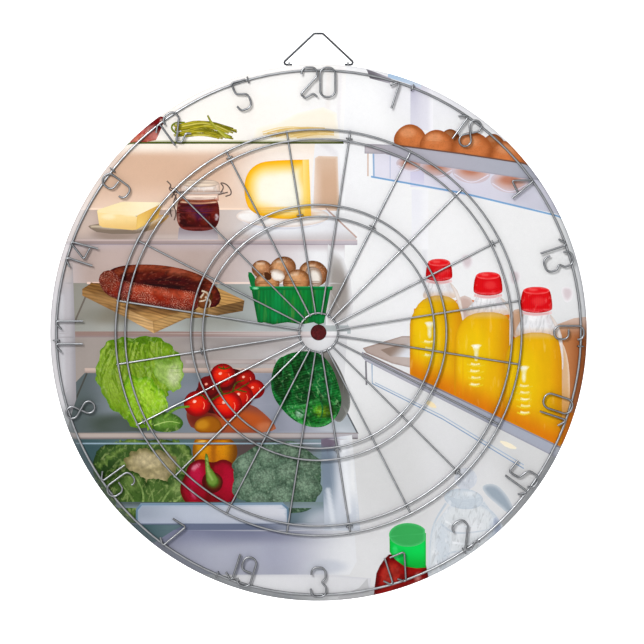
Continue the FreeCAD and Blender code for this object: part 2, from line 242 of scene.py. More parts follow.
def edge_tone(inner, start, end, colour, strength=1.0):
    """Paints shade or light onto the turned-over edge between two clock angles."""
    def layer(xz, c, o):
        angle = np.degrees(np.arctan2(xz[:, 0], xz[:, 1])) % 360
        along = soft_step((angle - start) / 12) * soft_step((end - angle) / 12)
        return lerp(c, colour, strength * along * soft_step((np.hypot(*xz.T) - inner) / 3))
    return layer


def grainy(size, colour, strength, seed=0):
    """Uneven tone from a few crossed waves, for large plain areas."""
    turns = np.random.RandomState(seed).uniform(0, 6.28, (5, 2))

    def layer(xz, c, o):
        tone = sum(np.sin(xz @ np.array([math.cos(a), math.sin(a)]) / size * (1 + 0.3 * i) + p)
                   for i, (a, p) in enumerate(turns))
        return lerp(c, colour, strength * soft_step(0.5 + tone / 5))
    return layer


shapes = []
# painted shade round the lower left of the turned-over edge and painted light along its left side, laid over
# every shape
PAINTED_EDGE_SHADE = edge_tone(SHADED_FROM, 176, 256, (104, 108, 112), 0.55)
PAINTED_EDGE_LIGHT = edge_tone(SHADED_FROM, 244, 318, (236, 234, 236), 0.65)


def draw(outline, base, *layers, finish="plain"):
    """Adds a shape on top of the earlier ones: its colour, the layers over it, the painted shade and painted
    light of the turned-over edge, and its kind of surface.
    """
    shapes.append((np.array(outline, dtype=float), base, layers + (PAINTED_EDGE_SHADE, PAINTED_EDGE_LIGHT), finish))


def bar(points, width, base, *layers):
    """A straight-edged line of even width."""
    draw(ribbon(points, width, None, 0), base, *layers)


def strokes(lines, width, end_width, base, *layers, finish="plain"):
    """Several soft lines of one kind, such as veins or wires."""
    for points in lines:
        draw(ribbon(points, width, end_width), base, *layers, finish=finish)


# ---------------------------------------------------------------- the printed picture: an open refrigerator
def draw_door_side():
    draw(oval(0, 0, 245, 245, 0, 120), (240, 240, 240), ramp((120, 60), (230, -60), (230, 231, 231), 0.7),
         ramp((30, 10), (80, -130), (213, 213, 213), 0.9), spot(70, 80, 90, 90, (245, 245, 245), 0.9),
         spot(20, 180, 60, 90, (254, 254, 254)), spot(100, 205, 60, 40, (240, 239, 246), 0.6),
         streak([(0, 240), (100, 216), (170, 162)], 16, (226, 226, 232), 0.35),
         # painted shade on the turned-over edge: light grey at the right, dark grey round the lower right,
         # light grey at the bottom
         edge_tone(220, 60, 100, (214, 218, 220), 0.8), edge_tone(220, 96, 176, (146, 149, 152), 0.85),
         edge_tone(220, 166, 200, (196, 197, 199), 0.8), spot(14, -196, 12, 10, (206, 208, 226), 0.9),
         grainy(30, (240, 240, 243), 0.35, 3))
    draw([(77, 172), (96, 168), (96, 226), (77, 226)], (226, 224, 234), across(90, 79, (198, 196, 214)),
         upward(216, 174, (228, 227, 236), 0.7), across(90, 96, (246, 245, 249)))
    draw(rect(78, 70, 92, 120), (238, 238, 244), across(82, 92, (247, 247, 249)),
         upward(110, 70, (248, 248, 250)))
    draw(rect(86, 34, 92, 70), (238, 238, 241), rim(2, (246, 246, 248), 0.9))
    draw([(58, 214), (63, 240), (92, 232), (86, 205)], (178, 204, 230), across(60, 90, (214, 224, 238)))
    draw([(40, 222), (43, 213), (60, 208.5), (61, 213)], (120, 116, 124), across(44, 60, (190, 186, 196)))


def draw_cabinet():
    # the lit space over the top shelf
    draw([(-245, 159), (21, 159), (24, 245), (-245, 245)], (254, 249, 242), across(-60, 20, (252, 251, 250)),
         ramp((-120, 170), (-200, 160), (250, 228, 210)), upward(185, 215, (254, 252, 250), 0.8),
         streak([(7, 160), (9, 240)], 3, (246, 240, 236), 0.6),
         streak([(16, 160), (19, 240)], 2, (240, 236, 238), 0.6))
    # peach back wall behind the first shelf
    draw([(-245, 100), (-8, 100), (-3, 159), (-245, 159)], (230, 198, 175),
         spot(-150, 136, 90, 24, (217, 180, 153), 0.9), spot(-210, 120, 40, 60, (216, 184, 160), 0.7),
         spot(-20, 128, 66, 52, (253, 243, 234), 1), upward(147, 156, (252, 240, 226)),
         upward(118, 103, (242, 218, 198), 0.6), grainy(26, (230, 196, 172), 0.25, 5))
    draw([(-8, 100), (-3, 159), (22, 159), (22, 100)], (244, 242, 243), across(8, 20, (250, 250, 251)),
         streak([(4, 158), (14, 150), (19, 120)], 4, (225, 222, 226), 0.4))
    draw([(-4.5, 102), (-3, 146), (0, 148), (16, 147.5), (17.5, 102)], (232, 208, 190),
         across(-4, 5, (212, 176, 148)), upward(125, 148, (222, 192, 168), 0.8),
         rim(2.2, (238, 220, 206), 0.7))
    draw([(-170, 158.1), (21, 158.1), (21, 160), (-170, 160)], (84, 94, 48),
         across(-110, -20, (112, 118, 74)), across(-20, 20, (96, 104, 66)))
    draw(rect(-170, 160, 21, 161.2), (226, 222, 196))
    # first shelf: glass, side edge and front bar
    draw([(-245, 104), (7, 104), (31.5, 80), (31.5, 76), (-245, 76)], (190, 168, 156),
         across(-120, -30, (226, 222, 222)), across(-40, 10, (236, 236, 240)),
         spot(-28, 87, 46, 13, (240, 242, 246), 1), upward(88, 77, (176, 164, 162), 0.5),
         spot(-200, 95, 20, 20, (206, 186, 174)), spot(-170, 82, 26, 7, (150, 132, 120)),
         streak([(-140, 80), (-60, 80)], 2.2, (204, 188, 180), 0.6))
    bar([(-200, 103.6), (8, 103.6)], 1.7, (250, 222, 200))
    bar([(6, 104.2), (32, 79.5)], 1.3, (196, 168, 158))
    draw([(-245, 73.4), (32.5, 73.4), (32.5, 77.8), (-245, 77.8)], (158, 140, 136),
         across(-100, 20, (196, 188, 196)), upward(76, 77.8, (224, 202, 198), 0.9),
         upward(74.6, 73.4, (150, 140, 152), 0.8))
    # back wall behind the second shelf
    draw([(-245, 41), (22, 41), (22, 73.4), (-245, 73.4)], (184, 164, 156),
         across(-110, -20, (216, 208, 210)), across(-30, 0, (240, 240, 242)),
         upward(66, 73, (192, 178, 182), 0.6), spot(-150, 62, 50, 16, (196, 176, 170), 0.6),
         across(-190, -214, (196, 184, 184)))
    # second shelf
    draw([(-245, 41.5), (6, 41.5), (27, 2), (27, -1), (-245, -1)], (158, 162, 158),
         across(-120, -200, (144, 138, 126)), across(-80, 0, (200, 208, 212)),
         spot(-90, 6, 34, 9, (146, 142, 130), 0.7), spot(-175, 14, 34, 10, (128, 122, 108)),
         upward(14, 1, (190, 196, 196), 0.4), grainy(14, (150, 154, 150), 0.35, 8))
    bar([(-194, 41.5), (6, 41.5)], 1.8, (236, 204, 188), across(-100, -20, (236, 226, 222)))
    bar([(-190, 42), (-203, 12), (-208, -2)], 1.5, (112, 104, 96))
    draw([(8, 74), (21, 62), (27, 44), (29, 20), (24, 6), (6, 6)], (214, 212, 212),
         spot(14, 36, 18, 34, (150, 142, 136), 0.85), rim(5, (238, 238, 240)))
    draw([(-245, -4.1), (24, -4.1), (24, 0.9), (-245, 0.9)], (150, 126, 118),
         across(-110, -20, (206, 194, 192)), across(-20, 20, (244, 244, 246)),
         upward(-2.4, -4.1, (150, 140, 146), 0.75))
    # back wall behind the third shelf
    draw([(-245, -4.1), (24, -4.1), (20, -60), (-245, -60)], (160, 150, 144),
         across(-110, -40, (184, 178, 177)), across(-34, 5, (226, 226, 228)),
         spot(-80, -8, 60, 8, (150, 142, 140), 0.7), spot(-24, -20, 30, 8, (206, 202, 202)),
         spot(-100, -14, 20, 10, (172, 164, 162), 0.6))
    draw(rect(-112, -26.5, -36, -22.5), (186, 174, 171), rim(1.4, (156, 142, 138)))
    draw([(-196, -33.8), (-36, -33.8), (-36, -29.8), (-196, -29.8)], (200, 178, 166),
         upward(-32, -33.8, (146, 130, 124)))
    # third shelf: smoky glass
    draw([(-196, -34), (-34, -34), (4, -38), (20, -60), (33, -85), (-245, -85)], (126, 134, 142),
         across(-110, -40, (156, 158, 172)), across(-20, 25, (206, 212, 218)),
         across(-170, -200, (84, 94, 92)), spot(-96, -50, 40, 9, (140, 144, 156), 0.7),
         spot(-166, -78, 42, 14, (62, 72, 60), 0.85), spot(10, -74, 26, 9, (188, 196, 202)),
         grainy(12, (112, 120, 130), 0.3, 4))
    bar([(-194, -34), (-206, -62), (-211, -84)], 1.4, (78, 78, 74))
    bar([(19, -58), (33, -85)], 1.3, (96, 100, 104))
    # wall of the cabinet at the far left
    draw([(-245, 66), (-206, 58), (-204, 0), (-203, -56), (-214, -90), (-245, -90)], (186, 182, 186),
         upward(30, 60, (196, 182, 176)), upward(-40, -84, (122, 130, 132)),
         across(-210, -203, (150, 146, 150), 0.8), streak([(-216, 30), (-214, -60)], 4, (204, 203, 207)))


def draw_top_shelf_food():
    draw(smooth([(-166, 159.6), (-138, 184), (-128, 180), (-134, 166), (-137, 159.6)], 1), (166, 48, 48),
         spot(-138, 178, 14, 9, (112, 18, 32), 0.9), spot(-152, 163, 14, 5, (214, 132, 106)),
         spot(-137, 165, 8, 7, (222, 150, 138)),
         streak([(-150, 170), (-140, 172)], 2.4, (226, 160, 146), 0.7), finish="meat")
    rng = random.Random(7)
    for i in range(24):
        low = 162.4 + rng.uniform(0, 10)
        x0, x1 = -122 + rng.uniform(0, 14), -72 + rng.uniform(-12, 6)
        bow = rng.uniform(1.5, 6.5)
        tone = rng.choice([(206, 192, 60), (228, 216, 104), (180, 168, 50), (240, 230, 156), (130, 126, 36)])
        z0, z1 = low + rng.uniform(-1, 3), max(162.4, low - rng.uniform(0, 5))
        draw(ribbon([(x0, z0), ((x0 + x1) / 2, max(z0, z1) + bow), (x1, z1)], 2.1, 1.4), tone,
             rim(0.8, (96, 92, 16), 0.65), finish="stalk")
    draw(ribbon([(-118, 166), (-124, 171), (-121, 176), (-112, 176)], 1.8, 1.3), (120, 132, 30))
    draw(ribbon([(-74, 163), (-88, 172), (-93, 182)], 2.4, 1.4), (172, 172, 60),
         rim(0.8, (110, 118, 30), 0.6))
    draw(ribbon([(-77, 163), (-83, 168), (-91, 178)], 2.2, 1.4), (196, 192, 84),
         rim(0.8, (120, 126, 34), 0.6))
    draw([(-56, 161.5), (-52, 172), (-34, 176), (-18, 184), (4, 189), (15, 184), (18, 161.5)],
         (255, 247, 230), spot(-16, 166, 34, 7, (250, 226, 172), 0.9), rim(3, (255, 252, 244)))
    for i in range(20):
        x0, z0 = -52 + rng.uniform(0, 34), 163 + rng.uniform(0, 6)
        draw(ribbon([(x0, z0), (x0 + 18, z0 + rng.uniform(1, 5)), (min(x0 + 40, 13), z0 + rng.uniform(0, 5))],
                    0.9), rng.choice([(240, 208, 140), (248, 224, 164), (232, 196, 122)]))


def draw_first_shelf_food():
    # butter on its dish
    draw(smooth([(-194, 88.6), (-183, 82.6), (-144, 82.6), (-124, 97), (-128, 99.5), (-190, 90.5)], 1),
         (132, 116, 102), ramp((-150, 84), (-128, 98), (200, 150, 84)),
         streak([(-190, 89), (-150, 87), (-128, 98)], 1.8, (226, 208, 180)))
    draw([(-185.6, 102), (-184, 103.2), (-166, 109.2), (-163, 109.7), (-132, 109.1), (-130.6, 108.2),
          (-151, 98), (-154, 97.8)], (251, 230, 176), ramp((-180, 100), (-140, 108), (254, 240, 204)))
    draw([(-185.6, 102.1), (-154, 97.9), (-151.6, 96.6), (-153, 86.2), (-156, 85.8), (-181, 88.2),
          (-183.8, 90)], (250, 222, 158), upward(98, 86, (238, 196, 122)),
         spot(-176, 97, 8, 3, (255, 240, 200), 0.7),
         streak([(-184, 101.4), (-152, 97.8)], 1.2, (254, 238, 198), 0.6))
    draw([(-152, 98), (-131, 108.2), (-134.6, 96), (-137, 94.4), (-153, 86)], (244, 204, 116),
         ramp((-152, 88), (-134, 104), (226, 176, 84)), rim(1.2, (226, 180, 96), 0.5))
    # preserving jar
    draw([(-118, 77.8), (-117, 88), (-85, 88), (-84, 77.8)], (152, 140, 146), upward(86, 78, (186, 178, 182)))
    draw([(-115.5, 125), (-83, 125), (-82.4, 118), (-116.4, 118)], (230, 204, 186),
         streak([(-112, 121), (-88, 121)], 1.6, (250, 244, 240)), rim(1.4, (168, 144, 132), 0.75),
         finish="glassy")
    draw(oval(-99.4, 125, 16, 3.4), (238, 218, 196), rim(1.2, (176, 150, 136), 0.85),
         spot(-99, 124.6, 11, 1.8, (246, 228, 206)))
    draw([(-116.5, 117), (-84, 117), (-83.6, 110.5), (-117, 110.5)], (226, 192, 174),
         streak([(-116, 113.6), (-84, 113.6)], 1.2, (255, 240, 224), 0.85), upward(113, 110.5, (190, 84, 56)),
         rim(1.2, (150, 120, 112), 0.6))
    draw(sausage_outline([(-118.6, 117.4), (-99, 116.4), (-80.6, 117.4)], 2.0), (222, 206, 196),
         rim(0.8, (118, 94, 86)))
    draw(smooth([(-116, 113), (-119, 106), (-119, 92), (-113, 85), (-89, 85), (-83, 92), (-83, 106),
                 (-86, 113)]), (74, 20, 30), spot(-101, 102, 11, 10, (92, 44, 88)),
         upward(106, 112, (186, 116, 84)), spot(-87, 100, 5, 10, (122, 44, 34)),
         spot(-110, 92, 9, 6, (52, 10, 20)), streak([(-85, 98), (-85.5, 95)], 1.6, (236, 220, 226), 0.9),
         streak([(-114, 87.4), (-88, 87)], 1.4, (158, 84, 70), 0.6),
         streak([(-117.4, 108), (-117.4, 92)], 1.2, (206, 150, 128), 0.7),
         spot(-107, 96, 7, 8, (132, 62, 34), 0.5), spot(-95, 93, 6, 6, (142, 66, 36), 0.45),
         rim(1.6, (130, 60, 46), 0.6), finish="jelly")
    draw(ribbon([(-116, 109.6), (-101, 107.8), (-85, 109.4)], 1.4), (236, 196, 166), rim(0.6, (170, 110, 84)))
    draw(ribbon([(-115, 112.8), (-101, 111.6), (-86, 112.6)], 1.6), (244, 222, 206),
         rim(0.6, (170, 130, 118)))
    strokes([[(-127, 127), (-123, 123), (-126, 120), (-119, 117), (-112, 118)],
             [(-122, 118), (-118, 111), (-125, 104), (-123, 97)],
             [(-119, 116), (-122, 108), (-119, 100), (-121, 94)], [(-125, 122), (-120, 119), (-123, 113)],
             [(-82, 117), (-79, 122), (-83, 126), (-76, 124), (-72, 116), (-78, 114)],
             [(-84, 115.5), (-76, 117.5)]], 1.1, None, (104, 88, 82))
    # wedge of cheese on a plate
    draw(oval(-30, 97.5, 39, 9.2, 0, 40), (250, 246, 243), rim(2.6, (226, 206, 194)),
         spot(-24, 99, 30, 6, (240, 186, 132), 0.85))
    draw(smooth([(-68, 95), (-52, 88.4), (-10, 88), (8, 94), (-4, 88.6), (-28, 85.6), (-54, 87.8)], 1),
         (214, 214, 224), rim(0.8, (236, 236, 242), 0.6))
    draw(smooth([(-6, 96.4), (-34, 94.5), (-57, 100), (-62.5, 114), (-61.5, 132), (-51, 142.5), (-34, 144.4),
                 (-8, 145)], 2, False), (255, 250, 230), rim(15, (255, 200, 62), 1),
         rim(6, (255, 184, 24), 0.7), spot(-10, 118, 9, 34, (255, 214, 108)), rim(1.5, (240, 168, 24), 0.6),
         spot(-26, 116, 18, 22, (255, 252, 236), 1), finish="cheese")
    draw([(-13.4, 144.8), (-8, 145), (-6, 96.4), (-11.4, 96)], (255, 212, 100),
         across(-8, -13, (255, 226, 140)), upward(112, 98, (252, 190, 60), 0.8))


def draw_second_shelf_food():
    # cutting board
    draw([(-198, 36.5), (-190, 41.6), (-88.5, 39.5), (-62, 26.8), (-94, 19.5), (-112, 18.6), (-139, 9.5),
          (-168, 23)], (200, 152, 92), ramp((-130, 20), (-190, 40), (142, 100, 56)),
         spot(-150, 22, 26, 7, (96, 66, 44), 0.75, 18), spot(-84, 30, 20, 7, (206, 158, 94)),
         spot(-170, 33, 22, 7, (120, 84, 52), 0.7), spot(-128, 19, 26, 6, (120, 82, 50), 0.7), finish="wood")
    draw([(-198, 36.5), (-168, 23), (-139, 9.5), (-138, -0.6), (-164, 14), (-198, 31)], (160, 118, 72),
         across(-180, -145, (216, 174, 120)), finish="wood")
    draw([(-139, 9.5), (-112, 18.6), (-94, 19.5), (-62, 26.8), (-63.4, 18), (-94.6, 12.6), (-111, 11.8),
          (-138, -0.6)], (196, 154, 98), across(-120, -70, (128, 96, 62)), rim(1.4, (120, 88, 54), 0.5),
         finish="wood")
    # two cured sausages
    draw(smooth([(-170, 40), (-160, 48), (-128, 48), (-104, 41), (-92, 34), (-98, 26), (-130, 28),
                 (-160, 32)], 1), (50, 18, 14))
    draw(sausage_outline([(-170, 41), (-172, 45.5), (-158, 49), (-130, 48.5), (-106, 43), (-93, 35),
                          (-90, 29)], 16.5), (96, 38, 28), rim(4, (58, 20, 14)),
         streak([(-168, 51), (-152, 55), (-128, 54.5), (-106, 48.5), (-92, 41)], 4.4, (146, 68, 46), 0.85),
         spot(-126, 41, 28, 7, (52, 18, 14), 0.9), spot(-118, 51, 12, 5, (166, 84, 62), 0.7),
         spot(-90, 36, 6, 8, (150, 62, 44)), spot(-174, 46, 8, 8, (128, 56, 40), 0.7), finish="sausage")
    draw(sausage_outline([(-176, 44), (-172, 37), (-155, 33.5), (-130, 29.5), (-107, 26.5)], 16.5),
         (146, 46, 30), rim(4.5, (84, 26, 18), 0.9),
         streak([(-162, 38), (-132, 34), (-108, 31)], 4.4, (190, 84, 58), 0.7),
         spot(-177, 44, 9, 11, (116, 50, 38), 0.9), spot(-164, 36, 7, 8, (126, 60, 62), 0.7), finish="salami")
    draw(smooth([(-102, 22), (-99, 32), (-93, 36), (-88, 32), (-90, 24), (-95, 19)]), (126, 74, 44),
         rim(2, (76, 40, 26)))
    strokes([[(-98, 35), (-92, 33), (-94, 27), (-100, 26)], [(-95, 30), (-90, 26), (-92, 21)],
             [(-99, 29), (-96, 33)]], 1.7, 1.1, (240, 226, 206), rim(0.7, (186, 160, 132), 0.7))
    # mushrooms in a green punnet
    draw(smooth([(-60, 51), (-56, 36), (-50, 38), (-55, 50)], 1), (0, 112, 58))
    caps = [(-47.4, 53.1, 8.6), (-30, 53.5, 11.4), (-4.4, 49.3, 12.4), (-43, 41.5, 10.4), (-18.5, 42.5, 11.6)]
    for i, (x, z, r) in enumerate(caps):
        if i == 3:
            draw(smooth([(-42, 50), (-37, 54), (-28, 51), (-29, 42), (-38, 40)]), (236, 224, 212),
                 rim(3, (150, 116, 92)))
            draw(smooth([(-12, 53), (-6, 56), (2, 53), (4, 42), (-2, 36), (-9, 40)]), (236, 226, 216),
                 rim(3.4, (128, 96, 74), 0.85), spot(-4, 44, 5, 6, (250, 246, 240)))
        warm = (204, 142, 92) if i > 2 else (178, 120, 82)
        draw(oval(x, z, r, r * 0.88, (-8, 24, -14)[i % 3]), warm, rim(r * 0.42, (108, 64, 38), 0.85),
             spot(x - r * 0.2, z + r * 0.25, r * 0.75, r * 0.55, (228, 172, 122), 0.85),
             streak([(x - r * 0.4, z + r * 0.5), (x + r * 0.1, z + r * 0.58)], 1.6, (248, 224, 200), 0.6),
             finish="cap")
    draw(smooth([(-46, 49), (-44, 51), (-39, 48), (-40, 44), (-44, 44)], 1), (84, 50, 34))
    draw(smooth([(-40, 50), (-37, 52), (-28, 48.6), (-29, 44), (-35, 43), (-39, 45)], 1), (246, 238, 230),
         rim(1.8, (196, 172, 154), 0.7))
    draw(smooth([(-9, 52), (-4, 54), (2, 51), (3, 42), (-3, 38), (-8, 43)]), (240, 232, 222),
         rim(2.6, (140, 108, 86)))
    draw([(-56.6, 38), (10.4, 38), (4.6, 8), (0, 6.6), (-4, 8.6), (-14, 6.8), (-26, 8.6), (-38, 6.8),
          (-46, 8.6), (-50.8, 7)], (8, 136, 66), upward(20, 7, (0, 124, 62), 0.8),
         across(-6, 8, (0, 150, 74), 0.8), across(-44, -56, (0, 108, 54), 0.8),
         spot(-16, 28, 16, 10, (44, 140, 58), 0.7), streak([(-34, 34), (-36, 12)], 4, (20, 156, 84), 0.7),
         rim(2, (0, 96, 46)), finish="ribs")
    draw([(-58, 38.6), (12, 38.6), (11.4, 35.4), (-57, 35.4)], (0, 112, 54),
         upward(37, 38.6, (52, 176, 108), 0.8))
    draw(smooth([(-56, 38), (-50, 38), (-50, 36), (-55, 36)], 1), (176, 232, 196),
         rim(0.8, (60, 176, 110), 0.9))


def draw_third_shelf_food():
    # head of lettuce
    draw(frilled([(-176, -4.5), (-150, -3.4), (-132, -3.6), (-120, -14), (-113, -24), (-115, -40),
                  (-122, -47), (-126, -50), (-129, -58), (-128, -70), (-134, -84), (-141, -79), (-152, -82),
                  (-160, -74), (-172, -66), (-183, -48), (-188, -36), (-183, -16)], 0.9, 4), (130, 166, 44),
         spot(-176, -32, 20, 34, (156, 184, 76), 0.9), spot(-150, -8, 30, 12, (84, 124, 26), 0.95),
         spot(-138, -24, 16, 14, (122, 172, 48)), spot(-146, -60, 22, 20, (134, 190, 52)),
         spot(-150, -48, 12, 12, (96, 150, 28), 0.6), rim(5, (84, 130, 30), 0.7), finish="leaf")
    rng = random.Random(21)
    for i in range(44):
        t = rng.uniform(0, 1)
        sweep = rng.uniform(0.35, 1)
        light = i % 2 == 0
        start = (-176 + 44 * t + rng.uniform(-2, 2), -7 - 22 * (1 - t) * rng.uniform(0, 1))
        draw(ribbon([start, (start[0] - 9 + 10 * t, start[1] - 22 * sweep),
                     (start[0] - 4 + 14 * t, start[1] - 46 * sweep)], rng.uniform(1.6, 3.4), 0.6, 3),
             (172, 196, 92) if light else (86, 122, 26),
             rim(1.5, (134, 168, 52) if light else (116, 152, 42), 0.95), finish="leaf")
    draw(frilled([(-138, -20), (-128, -23), (-116, -20), (-113, -32), (-115, -46), (-122, -51), (-128, -44),
                  (-138, -38)], 0.7, 9), (158, 190, 96), spot(-121, -36, 8, 12, (204, 216, 164), 0.9),
         spot(-128, -24, 12, 4, (110, 150, 52)), rim(2.6, (122, 166, 60)), finish="leaf")
    draw(frilled([(-166, -40), (-152, -34), (-138, -42), (-128, -50), (-127, -66), (-133, -84), (-138, -76),
                  (-150, -80), (-160, -66)], 1.1, 12), (152, 202, 48),
         spot(-146, -54, 12, 12, (188, 224, 80)), spot(-136, -72, 6, 9, (184, 220, 96)),
         rim(3.4, (78, 138, 26)), finish="leaf")
    for i in range(40):
        x0, z0 = -160 + rng.uniform(0, 28), -40 - rng.uniform(0, 32)
        draw(ribbon([(x0, z0), (x0 + rng.uniform(1, 5), z0 - 3),
                     (x0 + rng.uniform(-1, 7), z0 - rng.uniform(5, 12))], rng.uniform(1.8, 3.4), 0.6, 3),
             (200, 230, 100) if i % 2 else (104, 156, 26), rim(1.3, (154, 202, 52), 0.95), finish="leaf")
    # reflections of the fruit in the glass
    draw(smooth([(-108, -60), (-60, -56), (-38, -74), (-34, -84.5), (-104, -84.5), (-112, -70)]),
         (140, 76, 62), spot(-66, -74, 34, 12, (186, 88, 44), 1), spot(-98, -72, 18, 12, (104, 38, 30)),
         spot(-44, -80, 12, 7, (206, 124, 82)))
    draw(smooth([(-104, -84.5), (-104, -74), (-92, -69), (-82, -73), (-80, -84.5)]), (160, 94, 26),
         spot(-98, -77, 9, 6, (204, 142, 42)), rim(2.5, (120, 68, 36), 0.7))
    # tomatoes on the vine
    draw(smooth([(-98, -40), (-80, -28), (-60, -33), (-50, -44), (-54, -58), (-76, -70), (-100, -66),
                 (-106, -54)]), (84, 14, 12), rim(5, (60, 14, 12), 0.6))
    for x, z, r, tone in ((-92.4, -44.6, 8.6, 0.55), (-61.2, -38.6, 8.4, 0.75), (-80.2, -36, 10.6, 1),
                          (-53.6, -47.4, 8.6, 0.9), (-65, -53.4, 10.4, 0.85), (-101.6, -59.6, 11.4, 0.98),
                          (-76.6, -60.4, 12.6, 1.05)):
        draw(oval(x, z, r, r * 0.95), toned((218, 32, 18), tone), rim(r * 0.45, (110, 6, 8), 0.85),
             spot(x - r * 0.1, z + r * 0.1, r * 0.8, r * 0.7, toned((244, 62, 34), tone), 0.7))
        draw(oval(x - r * 0.2, z + r * 0.16, r * 0.15, r * 0.12, 20, 14), (255, 226, 212),
             rim(0.7, (255, 130, 104), 0.85))
        draw(ribbon([(x + r * 0.45, z - r * 0.4), (x + r * 0.55, z - r * 0.1), (x + r * 0.45, z + r * 0.15)],
                    1.0, 0.4), (250, 130, 100))
    strokes([[(-92, -58), (-82, -52), (-72, -50), (-58, -42)], [(-80, -52), (-84, -45), (-81, -40)],
             [(-72, -50), (-70, -42), (-62, -40)], [(-84, -29), (-79, -31), (-74, -29)],
             [(-79, -31), (-80, -28)], [(-94, -56), (-98, -52), (-104, -53)], [(-68, -48), (-60, -50)]], 1.6,
            0.8, (104, 106, 46), rim(0.6, (52, 60, 22), 0.7))
    # savoy cabbage with its shadow
    draw(smooth([(2, -13), (10, -17), (20, -34), (27, -54), (26, -66), (17, -78), (8, -66), (4, -36)]),
         (92, 90, 84), ramp((10, -44), (28, -60), (118, 120, 116), 0.8),
         upward(-30, -12, (184, 178, 174), 0.8), rim(1.4, (176, 176, 175), 0.5))
    draw(smooth([(-6, -15), (-26, -17), (-37, -26), (-40.5, -42), (-38, -54), (-31, -64), (-22, -73),
                 (-12, -78), (-2, -80), (8, -78), (16, -70), (20, -58), (17, -44), (12, -30), (4, -19)]),
         (16, 112, 48), spot(-24, -36, 15, 18, (10, 80, 34), 0.7), spot(0, -34, 10, 16, (30, 142, 60)),
         spot(2, -64, 16, 12, (84, 178, 52), 0.9), rim(3, (20, 130, 56), 0.6), finish="savoy")
    draw(smooth([(-30, -18), (-38, -28), (-40, -44), (-34, -58), (-24, -60), (-20, -44), (-22, -26)]),
         (14, 96, 40), rim(2.6, (44, 146, 70)), spot(-32, -40, 6, 14, (6, 66, 28), 0.6), finish="savoy")
    draw(smooth([(-30, -60), (-16, -62), (2, -54), (15, -58), (16, -70), (8, -77), (-4, -80), (-18, -76)]),
         (36, 140, 50), rim(3, (98, 200, 110), 0.85), spot(4, -66, 11, 7, (150, 200, 40), 0.9),
         spot(-16, -68, 5, 5, (196, 224, 206)), finish="savoy")
    draw(smooth([(-16, -16), (-4, -15.4), (6, -24), (12, -44), (10, -56), (0, -52), (-8, -36), (-14, -24)]),
         (26, 116, 56), rim(2.4, (70, 166, 92), 0.7), finish="savoy")
    strokes([[(-4, -18), (-2, -36), (2, -52)], [(-28, -22), (-31, -40), (-27, -56)],
             [(2, -56), (4, -66), (0, -77)], [(-24, -62), (-12, -68), (-4, -77)],
             [(-2, -34), (6, -40), (12, -42)], [(-2, -34), (-10, -40), (-16, -40)]], 2.0, 0.7, (76, 170, 96),
            rim(0.9, (34, 118, 58), 0.9), finish="savoy")


